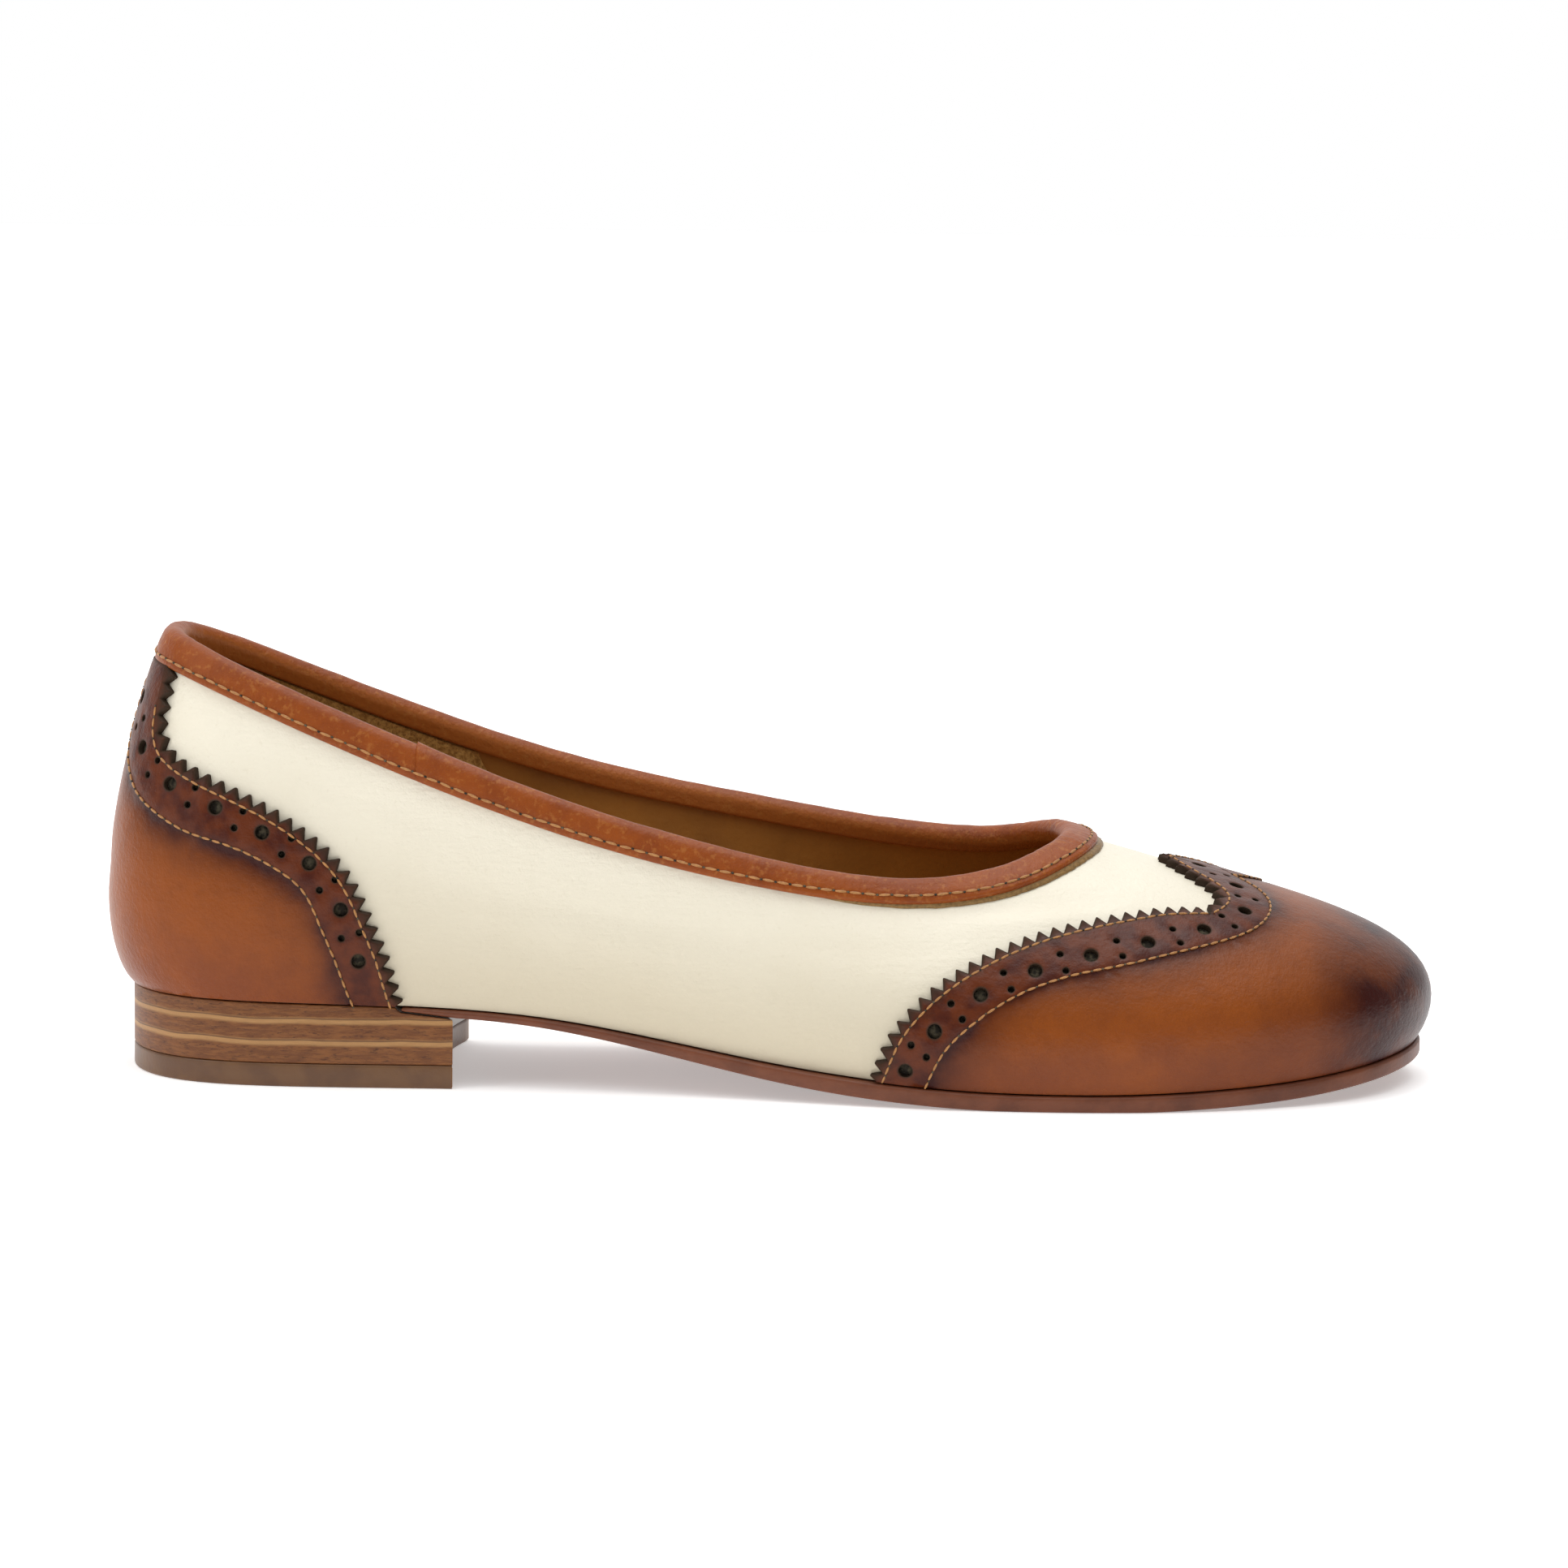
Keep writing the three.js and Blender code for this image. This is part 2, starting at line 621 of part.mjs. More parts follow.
// Binding folded over the rim: its section runs up the outside, over the top and down the inside
function bindingSection(rib) {
  const outer = FIT_GAP + BINDING_LEATHER;
  const middle = WALL / 2;
  const lowUp = upBelowRim(rib, BINDING_OUTSIDE);
  const innerUp = upBelowRim(rib, BINDING_INSIDE);
  const rim = lastPoint(rib, 1);
  const { normal, upward } = lastFrame(rib, 1);
  const rise = upward.clone().normalize();
  const roll = (radius, angle) => rim.clone()
    .addScaledVector(normal, radius * Math.cos(angle) - middle)
    .addScaledVector(rise, radius * Math.sin(angle));
  const outerRoll = [1, 2, 3].map((i) => roll(middle + outer, i * Math.PI / 4));
  return [
    offsetPoint(rib, lowUp, outer),
    offsetPoint(rib, 1, outer),
    ...outerRoll,
    offsetPoint(rib, 1, -WALL - outer),
    offsetPoint(rib, innerUp, -WALL - outer),
    offsetPoint(rib, innerUp, -WALL - FIT_GAP),
    offsetPoint(rib, 1, -WALL - FIT_GAP),
    roll(middle + FIT_GAP, Math.PI / 2),
    offsetPoint(rib, 1, FIT_GAP),
    offsetPoint(rib, lowUp, FIT_GAP),
  ];
}

function makeBinding() {
  const ribs = ribSteps(0, RIB_COUNT).slice(0, -1);
  return sweep(ribs.map(bindingSection), true);
}

// Upright prism over the foot's outline, moved out by a ledge that may change along the shoe
function planPrism(ledgeAt) {
  const ribs = ribSteps(0, RIB_COUNT).slice(0, -1);
  const outline = ribs.map((rib) => {
    const point = footPoint(rib, ledgeAt(RIB.footX(rib) / LENGTH));
    return new THREE.Vector2(point.x, point.y);
  });
  const shape = new THREE.Shape(outline);
  return solidOf(new THREE.ExtrudeGeometry(shape, { depth: LENGTH, bevelEnabled: false }));
}

// Slab across the whole width between an upper and a lower line, given as heights along the shoe
function sideSlab(stations, topAt, bottomAt) {
  const top = stations.map((x) => new THREE.Vector2(x, topAt(x)));
  const bottom = stations.map((x) => new THREE.Vector2(x, bottomAt(x)));
  const shape = new THREE.Shape([...bottom, ...top.reverse()]);
  const geometry = new THREE.ExtrudeGeometry(shape, { depth: 2 * BALL_WIDTH, bevelEnabled: false });
  geometry.rotateX(Math.PI / 2);
  geometry.translate(0, BALL_WIDTH, 0);
  return solidOf(geometry);
}

function evenStations(from, to, count) {
  return Array.from({ length: count + 1 }, (_, i) => THREE.MathUtils.lerp(from, to, i / count));
}

// Heel and sole sizes that follow from the ones at the top
const HEEL_BACK = RIB.footX(0) - HEEL_LEDGE;
const BREAST = HEEL_BACK + HEEL_LENGTH;
const SKIVE_START = BREAST - SKIVE_LENGTH;
const PAST_TOE = LENGTH + TREAD_LEDGE;

function soleThickness(x) {
  if (x < BREAST) {
    const share = (x - SKIVE_START) / SKIVE_LENGTH;
    return THREE.MathUtils.lerp(SKIVED_END, WAIST_THICKNESS, share);
  }
  return THREE.MathUtils.lerp(WAIST_THICKNESS, SOLE_THICKNESS, smoothShare(SOLE_CHANGE, x / LENGTH));
}

function soleTop(x) {
  return seatHeight(x) - FIT_GAP;
}

function soleUnderside(x) {
  return Math.max(0, soleTop(x) - soleThickness(x));
}

function makeOutsole() {
  const ledgeAt = (along) => THREE.MathUtils.lerp(WAIST_LEDGE, TREAD_LEDGE, smoothShare(SOLE_CHANGE, along));
  const skive = evenStations(SKIVE_START, BREAST, 2);
  const tread = evenStations(BREAST, PAST_TOE, FACETS_ALONG_SOLE);
  const stations = [...skive, ...tread.slice(1)];
  return planPrism(ledgeAt).intersect(sideSlab(stations, soleTop, soleUnderside));
}

function makeInsole() {
  const stations = evenStations(0, LENGTH, FACETS_ALONG_SOLE);
  const slab = sideSlab(stations, (x) => seatHeight(x) + INSOLE_THICKNESS, seatHeight);
  return planPrism(() => -WALL - FIT_GAP).intersect(slab);
}

// What lies in front of the heel's hollow breast
function makeBreastCutter() {
  const side = SEAT_WIDTH / 2;
  const shape = new THREE.Shape();
  shape.moveTo(BREAST, -side);
  shape.quadraticCurveTo(BREAST - 2 * BREAST_HOLLOW, 0, BREAST, side);
  shape.lineTo(BREAST, BALL_WIDTH);
  shape.lineTo(PAST_TOE, BALL_WIDTH);
  shape.lineTo(PAST_TOE, -BALL_WIDTH);
  shape.lineTo(BREAST, -BALL_WIDTH);
  const options = { depth: LENGTH, bevelEnabled: false, curveSegments: 8 };
  return solidOf(new THREE.ExtrudeGeometry(shape, options));
}

// Slab of the heel's stack over the top piece: it passes under the sole's skived end
function makeStackSlab() {
  const behind = evenStations(-HEEL_LEDGE, SKIVE_START - FIT_GAP, 5);
  const under = evenStations(SKIVE_START - FIT_GAP, BREAST, 3);
  const lineOf = (stations, heightAtPlace) => stations.map((x) => new THREE.Vector2(x, heightAtPlace(x)));
  const belowSole = (x) => soleTop(x) - soleThickness(x) - FIT_GAP;
  const shape = new THREE.Shape([
    new THREE.Vector2(-HEEL_LEDGE, TOP_PIECE),
    new THREE.Vector2(BREAST, TOP_PIECE),
    ...lineOf([...under].reverse(), belowSole),
    ...lineOf([...behind].reverse(), soleTop),
  ]);
  const geometry = new THREE.ExtrudeGeometry(shape, { depth: 2 * BALL_WIDTH, bevelEnabled: false });
  geometry.rotateX(Math.PI / 2);
  geometry.translate(0, BALL_WIDTH, 0);
  return solidOf(geometry);
}

const breastCutter = makeBreastCutter();

function makeTopPiece() {
  const slab = sideSlab([-HEEL_LEDGE, BREAST], () => TOP_PIECE, () => 0);
  return planPrism(() => HEEL_LEDGE).intersect(slab).subtract(breastCutter);
}

function makeHeelWrap() {
  return planPrism(() => HEEL_LEDGE)
    .subtract(planPrism(() => HEEL_LEDGE - WRAP))
    .intersect(makeStackSlab())
    .subtract(breastCutter);
}

function makeHeelBlock() {
  return planPrism(() => HEEL_LEDGE - WRAP - FIT_GAP)
    .intersect(makeStackSlab())
    .subtract(breastCutter);
}

// The assembled shoe, with the middle of its box over the origin
const CREAM_LEATHER = { color: 0xece6d6, roughness: 0.55, metalness: 0 };
const TAN_LEATHER = { color: 0x9c5a2a, roughness: 0.38, metalness: 0 };
const BINDING_TAN = { color: 0xa5592e, roughness: 0.42, metalness: 0 };
const SOCK_LEATHER = { color: 0x8f6632, roughness: 0.6, metalness: 0 };
const SOLE_LEATHER = { color: 0x8a4f3a, roughness: 0.5, metalness: 0 };
const STACKED_LEATHER = { color: 0x8c6040, roughness: 0.55, metalness: 0 };
const GREY_PLASTIC = { color: 0xb9b8b4, roughness: 0.6, metalness: 0 };
const HEEL_RUBBER = { color: 0x7b5535, roughness: 0.45, metalness: 0 };

const shoe = new THREE.Group();

function addPiece(name, solid, finish) {
  const mesh = new THREE.Mesh(geometryOf(solid), new THREE.MeshStandardMaterial(finish));
  mesh.name = name;
  shoe.add(mesh);
}

addPiece('upper', makeUpper(), CREAM_LEATHER);
addPiece('toe_cap', makeToeCap(), TAN_LEATHER);
addPiece('heel_counter', makeHeelCounter(), TAN_LEATHER);
addPiece('topline_binding', makeBinding(), BINDING_TAN);
addPiece('insole', makeInsole(), SOCK_LEATHER);
addPiece('outsole', makeOutsole(), SOLE_LEATHER);
addPiece('heel_wrap', makeHeelWrap(), STACKED_LEATHER);
addPiece('heel_block', makeHeelBlock(), GREY_PLASTIC);
addPiece('top_piece', makeTopPiece(), HEEL_RUBBER);

const box = new THREE.Box3().setFromObject(shoe);
const middle = box.getCenter(new THREE.Vector3());
shoe.position.set(-middle.x, -middle.y, 0);

const assembly = new THREE.Group();
assembly.add(shoe);

export default assembly;
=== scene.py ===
# Right shoe of a pair of women's ballet flats: cream leather with a pinked and punched wing-tip
# toe cap and heel counter in burnished tan, a rolled topline and a low stacked heel.
# Metres, +X to the toe, +Z up, the outer side of the foot towards -Y.
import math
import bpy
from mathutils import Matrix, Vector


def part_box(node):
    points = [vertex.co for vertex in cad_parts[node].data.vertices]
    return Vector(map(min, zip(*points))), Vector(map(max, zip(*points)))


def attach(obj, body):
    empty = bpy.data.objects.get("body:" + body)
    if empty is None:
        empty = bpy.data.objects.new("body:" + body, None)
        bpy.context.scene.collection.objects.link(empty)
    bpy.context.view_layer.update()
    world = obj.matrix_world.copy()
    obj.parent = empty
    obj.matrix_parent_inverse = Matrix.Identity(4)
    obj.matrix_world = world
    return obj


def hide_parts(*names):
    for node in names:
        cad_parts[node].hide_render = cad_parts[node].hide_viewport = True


bl_info = {
    "name": "Ballet Flat",
    "version": (1, 0, 0),
    "blender": (4, 5, 0),
    "location": "View3D > Sidebar > Ballet Flat",
    "description": "Leathers, stitches, heel and stage of a wing-tip ballet flat",
    "category": "Object",
}

import bpy
import numpy as np
from bpy.props import FloatProperty, IntProperty, PointerProperty, StringProperty
from mathutils import Matrix, Vector
from mathutils.geometry import delaunay_2d_cdt

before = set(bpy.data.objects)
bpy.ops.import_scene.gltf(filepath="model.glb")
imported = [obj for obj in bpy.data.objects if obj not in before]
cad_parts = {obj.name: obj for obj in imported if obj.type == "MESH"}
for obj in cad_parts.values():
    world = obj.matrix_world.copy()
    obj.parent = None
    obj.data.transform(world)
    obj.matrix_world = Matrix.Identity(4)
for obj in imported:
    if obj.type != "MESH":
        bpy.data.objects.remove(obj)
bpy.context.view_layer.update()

MM = 0.001
BODY = "root"

# Height of the feather edge over the ball's, along the shoe: place as a share of the length, and
# shares of the heel rise and the toe spring
SEAT_LINE = [
    (0.0, 1.0, 0.0), (0.08, 0.985, 0.0), (0.18, 0.96, 0.0), (0.26, 0.912, 0.0),
    (0.34, 0.792, 0.0), (0.42, 0.55, 0.0), (0.5, 0.285, 0.0), (0.565, 0.13, 0.0),
    (0.635, 0.022, 0.0), (0.7, -0.012, 0.0), (0.765, 0.0, -0.02), (0.85, 0.0, 0.16),
    (0.905, 0.0, 0.38), (0.952, 0.0, 0.67), (1.0, 0.0, 1.0),
]

# Ribs of the last, each from the feather edge up to the topline: place of the foot along the
# length, its share of the width, place of the rim, its share of the width, share of the height
BACK_RIB = (0.026, 0.0, 0.05, 0.0, 1.0)
TOE_RIB = (0.986, 0.0, 0.729, 0.0, 1.0)
OUTER_RIBS = [
    (0.044, 0.279, 0.06, 0.202, 0.99), (0.095, 0.448, 0.107, 0.358, 0.928),
    (0.179, 0.496, 0.183, 0.446, 0.844), (0.278, 0.5, 0.278, 0.496, 0.773),
    (0.377, 0.478, 0.373, 0.471, 0.752), (0.476, 0.457, 0.464, 0.415, 0.784),
    (0.575, 0.471, 0.548, 0.366, 0.81), (0.675, 0.495, 0.615, 0.331, 0.832),
    (0.766, 0.495, 0.667, 0.29, 0.883), (0.845, 0.45, 0.698, 0.226, 0.94),
    (0.913, 0.36, 0.717, 0.155, 0.983), (0.963, 0.214, 0.726, 0.079, 1.0),
]
INNER_RIBS = [
    (0.044, 0.275, 0.06, 0.202, 0.99), (0.095, 0.442, 0.107, 0.358, 0.928),
    (0.179, 0.485, 0.183, 0.446, 0.847), (0.278, 0.45, 0.278, 0.496, 0.783),
    (0.381, 0.355, 0.373, 0.471, 0.78), (0.484, 0.322, 0.464, 0.415, 0.847),
    (0.587, 0.366, 0.548, 0.366, 0.894), (0.683, 0.424, 0.615, 0.331, 0.897),
    (0.774, 0.438, 0.667, 0.29, 0.909), (0.857, 0.395, 0.698, 0.226, 0.95),
    (0.921, 0.314, 0.717, 0.155, 0.986), (0.966, 0.188, 0.726, 0.079, 1.0),
]

# Form of each rib from the back to the toe: out and swell are shares of the fullness at its lower
# and upper handle, up and drop shares of the wall's height, ease the upper handle's lean
RIB_FORMS = [
    (0.9, 0.168, 0.33, 0.68, 0.368), (0.85, 0.17, 0.33, 0.6, 0.37),
    (0.7, 0.182, 0.33, 0.48, 0.38), (0.55, 0.21, 0.33, 0.38, 0.4),
    (0.5, 0.253, 0.33, 0.32, 0.437), (0.48, 0.29, 0.33, 0.28, 0.447),
    (0.48, 0.305, 0.33, 0.26, 0.415), (0.52, 0.335, 0.34, 0.26, 0.375),
    (0.6, 0.37, 0.36, 0.28, 0.34), (0.7, 0.415, 0.42, 0.28, 0.315),
    (0.93, 0.465, 0.507, 0.24, 0.326), (1.124, 0.51, 0.582, 0.16, 0.34),
    (1.247, 0.54, 0.634, 0.06, 0.358), (1.274, 0.553, 0.647, 0.0, 0.366),
]

# Lines on the outer side, as rib number from the back and share of the way up the rib
WING_SIDE = [
    (6.98, -0.05), (7.12, 0.18), (7.33, 0.364), (7.67, 0.525), (8.13, 0.645), (8.63, 0.714),
    (9.15, 0.743), (9.71, 0.748), (10.31, 0.741), (10.75, 0.727), (11.13, 0.7),
]
WING_PEAK = [
    (11.13, 0.7), (11.53, 0.719), (11.88, 0.762), (12.17, 0.808), (12.57, 0.852), (13.0, 0.872),
]
WING_PUNCHES = [
    (7.29, 0.09), (7.56, 0.299), (8.03, 0.476), (8.61, 0.566), (9.23, 0.6), (9.92, 0.614),
    (10.66, 0.62), (11.49, 0.65), (12.3, 0.728), (13.0, 0.804),
]
WING_INNER_ROW = [
    (7.42, -0.05), (7.44, 0.033), (7.57, 0.181), (7.76, 0.292), (8.0, 0.383), (8.38, 0.473),
    (8.89, 0.527), (9.41, 0.541), (9.99, 0.555), (10.64, 0.565), (11.22, 0.585), (11.86, 0.632),
    (12.38, 0.68), (12.79, 0.725), (13.0, 0.745),
]
COUNTER_SIDE = [
    (3.57, -0.05), (3.47, 0.206), (3.38, 0.342), (3.26, 0.472), (3.13, 0.563), (2.93, 0.631),
    (2.65, 0.679), (2.36, 0.706), (2.04, 0.722), (1.69, 0.737), (1.36, 0.762), (1.21, 0.802),
    (1.18, 0.848),
]
COUNTER_PUNCHES = [
    (0.43, 0.846), (0.89, 0.738), (1.43, 0.677), (1.95, 0.652), (2.4, 0.618), (2.81, 0.56),
    (3.07, 0.425), (3.21, 0.231),
]
COUNTER_INNER_ROW = [
    (0.19, 0.96), (0.17, 0.88), (0.2, 0.79), (0.42, 0.715), (0.68, 0.672), (0.94, 0.632),
    (1.28, 0.599), (1.69, 0.571), (2.1, 0.56), (2.47, 0.531), (2.75, 0.475), (2.88, 0.388),
    (2.98, 0.288), (3.08, 0.154), (3.16, 0.001), (3.18, -0.05),
]

# Where the width, the height and the sole's thickness change over, as shares of the length
WIDTH_CHANGE = (0.25, 0.65)
HEIGHT_CHANGE = (0.05, 0.6)
SOLE_CHANGE = (0.27, 0.58)

RIB_COUNT = 26
TOE = 13


def size_property(name, millimetres, description):
    return FloatProperty(
        name=name, description=description, default=millimetres * MM, unit="LENGTH", precision=5
    )


def colour_property(name, hex_colour, description):
    return StringProperty(name=name, description=description, default=hex_colour)


class FlatLastSizes(bpy.types.PropertyGroup):
    """Driving sizes of the last that the shoe is made on"""

    length: size_property("Length", 252, "Length of the last")
    ball_width: size_property("Ball width", 84, "Width at the ball of the foot")
    seat_width: size_property("Seat width", 52, "Width at the heel")
    back_height: size_property("Back height", 65.4, "Height of the wall at the back")
    instep_height: size_property("Instep height", 42.2, "Height of the wall at the throat")
    heel_rise: size_property("Heel rise", 12.9, "Height of the heel seat over the ball")
    toe_spring: size_property("Toe spring", 4.8, "Height of the toe over the ball")
    fullness: size_property("Fullness", 10, "How far the walls swell out")


class FlatUpperSizes(bpy.types.PropertyGroup):
    """Leathers of the upper and what is cut in them"""

    wall: size_property("Wall", 1.8, "Thickness of the upper with its lining")
    overlay: size_property("Overlay", 1.1, "Thickness of the toe cap and the heel counter")
    fit_gap: size_property("Fit gap", 0.3, "Room between two leathers")
    tooth_pitch: size_property("Tooth pitch", 2.9, "Distance between pinked teeth")
    tooth_depth: size_property("Tooth depth", 1.9, "Depth of the pinked teeth")
    hole_radius: size_property("Hole radius", 1.3, "Radius of the large punched holes")
    pinhole_radius: size_property("Pinhole radius", 0.62, "Radius of the small punched holes")
    pinhole_spread: size_property("Pinhole spread", 1.75, "Small holes' distance off their line")
    cut_edge: size_property("Cut edge", 0.55, "Width of the dark rounded edge of a cut")
    strip_rise: size_property("Strip rise", 0.3, "Height of the punched strip over its panel")
    crease_depth: size_property("Crease depth", 0.5, "Depth of the deepest soft crease")


class FlatBindingSizes(bpy.types.PropertyGroup):
    """Rolled leather along the topline"""

    outside: size_property("Outside", 4.7, "Height of the binding on the outside")
    inside: size_property("Inside", 2.5, "Height of the binding on the inside")
    leather: size_property("Leather", 1, "Thickness of the binding's leather")
    seam_step: size_property("Seam step", 0.5, "Height of the step where its ends lap")
    narrowing: FloatProperty(
        name="Narrowing", description="Share by which it is lower beside the ball", default=0.24
    )
    wrinkle: size_property("Wrinkle", 0.09, "Depth of the fine wrinkles across the binding")
    raw_edge: size_property("Raw edge", 1.3, "Width of the raw edge seen below the binding")


class FlatSoleSizes(bpy.types.PropertyGroup):
    """Outsole, sock and stacked heel"""

    sole: size_property("Sole", 3.2, "Thickness of the sole under the ball")
    waist: size_property("Waist", 1.5, "Thickness of the sole at the waist")
    skived_end: size_property("Skived end", 0.7, "Thickness of the sole's end over the heel")
    skive_length: size_property("Skive length", 10, "Length of the thinned end")
    tread_ledge: size_property("Tread ledge", 1.9, "How far the sole stands out at the ball")
    waist_ledge: size_property("Waist ledge", 0.8, "How far the sole stands out at the waist")
    sock: size_property("Sock", 2.2, "Thickness of the insole with its sock")
    heel_length: size_property("Heel length", 62.3, "Length of the heel")
    heel_ledge: size_property("Heel ledge", 0.8, "How far the heel stands out")
    breast_hollow: size_property("Breast hollow", 4, "Depth of the hollow in the heel's breast")
    top_piece: size_property("Top piece", 4.5, "Thickness of the rubber top piece")
    wrap: size_property("Wrap", 1.2, "Thickness of the leather round the heel block")
    lift: size_property("Lift", 4.1, "Thickness of one layer of the stacked heel")
    rounding: size_property("Rounding", 0.5, "Radius of the rounded edges of sole and heel")


class FlatStitchSizes(bpy.types.PropertyGroup):
    """Thread and its rows"""

    thread: size_property("Thread", 0.46, "Thickness of the upper's thread")
    overlay_pitch: size_property("Overlay pitch", 2.1, "Length of one stitch on the overlays")
    binding_thread: size_property("Binding thread", 0.52, "Thickness of the binding's thread")
    binding_pitch: size_property("Binding pitch", 2.7, "Length of one stitch on the binding")
    edge_distance: size_property("Edge distance", 0.75, "Distance of a row from the teeth")
    binding_distance: size_property("Binding distance", 1.4, "Distance above the lower edge")
    seed: IntProperty(name="Seed", description="Start of the stitches' small turns", default=7)


class FlatColours(bpy.types.PropertyGroup):
    """Colours of the leathers and the other finishes, as sRGB hex values"""

    cream: colour_property("Cream", "#EDE6D3", "Smooth cream leather of the sides")
    tan: colour_property("Tan", "#944C17", "Burnished tan leather at its lightest")
    # Darker copy of the tan for the lower panels: painted shade
    shaded_tan: colour_property("Russet", "#80411F", "Tan leather low on the panels")
    mahogany: colour_property("Mahogany", "#35100A", "Burnish at the toe and by the strips")
    strip: colour_property("Strip", "#5E2A11", "Punched strips")
    cut: colour_property("Cut", "#33261A", "Cut and pinked edges")
    binding: colour_property("Binding", "#8F4614", "Topline binding")
    lining: colour_property("Lining", "#B07428", "Lining leather")
    suede: colour_property("Suede", "#CB9C56", "Suede heel grip")
    sock: colour_property("Sock", "#A57B46", "Sock leather")
    sole: colour_property("Sole", "#733F26", "Sole leather")
    stack: colour_property("Stack", "#825026", "Stacked leather of the heel")
    stack_line: colour_property("Stack line", "#BE935E", "Light lines between the heel's layers")
    plastic: colour_property("Plastic", "#B9B8B4", "Heel block")
    rubber: colour_property("Rubber", "#6E4A28", "Rubber top piece")
    thread: colour_property("Thread", "#B07B42", "Thread of the overlays")
    binding_thread: colour_property("Binding thread", "#B07A42", "Thread of the binding")
    floor: colour_property("Floor", "#FBFBFB", "Floor of the stage")


SIZE_GROUPS = {
    "flat_last": FlatLastSizes,
    "flat_upper": FlatUpperSizes,
    "flat_binding": FlatBindingSizes,
    "flat_sole": FlatSoleSizes,
    "flat_stitch": FlatStitchSizes,
    "flat_colours": FlatColours,
}


def settings(group):
    return getattr(bpy.context.scene, group)


def natural_spline(places, values):
    """Cubic spline through rows of values, without bend at its two ends."""
    places = np.asarray(places, dtype=float)
    values = np.asarray(values, dtype=float)
    count = len(places)
    system = np.eye(count)
    turns = np.zeros_like(values)
    for i in range(1, count - 1):
        before = places[i] - places[i - 1]
        after = places[i + 1] - places[i]
        system[i, i - 1:i + 2] = before, 2 * (before + after), after
        turns[i] = 6 * ((values[i + 1] - values[i]) / after - (values[i] - values[i - 1]) / before)
    bends = np.linalg.solve(system, turns)

    def at(place):
        place = np.asarray(place, dtype=float)
        i = np.clip(np.searchsorted(places, place), 1, count - 1)
        width = (places[i] - places[i - 1])[..., None]
        left = (places[i] - place)[..., None] / width
        right = (place - places[i - 1])[..., None] / width
        bow = (left**3 - left) * bends[i - 1] + (right**3 - right) * bends[i]
        return left * values[i - 1] + right * values[i] + bow * width**2 / 6

    return at


def smooth_share(change, place):
    share = np.clip((place - change[0]) / (change[1] - change[0]), 0, 1)
    return share * share * (3 - 2 * share)


def blend(a, b, share):
    return a + (b - a) * share


def bump_shape(distance, width):
    """1 at distance 0, falling smoothly to almost nothing at the width."""
    return np.exp(-(2 * distance / width) ** 2)


def unit(vectors):
    return vectors / np.linalg.norm(vectors, axis=-1, keepdims=True)


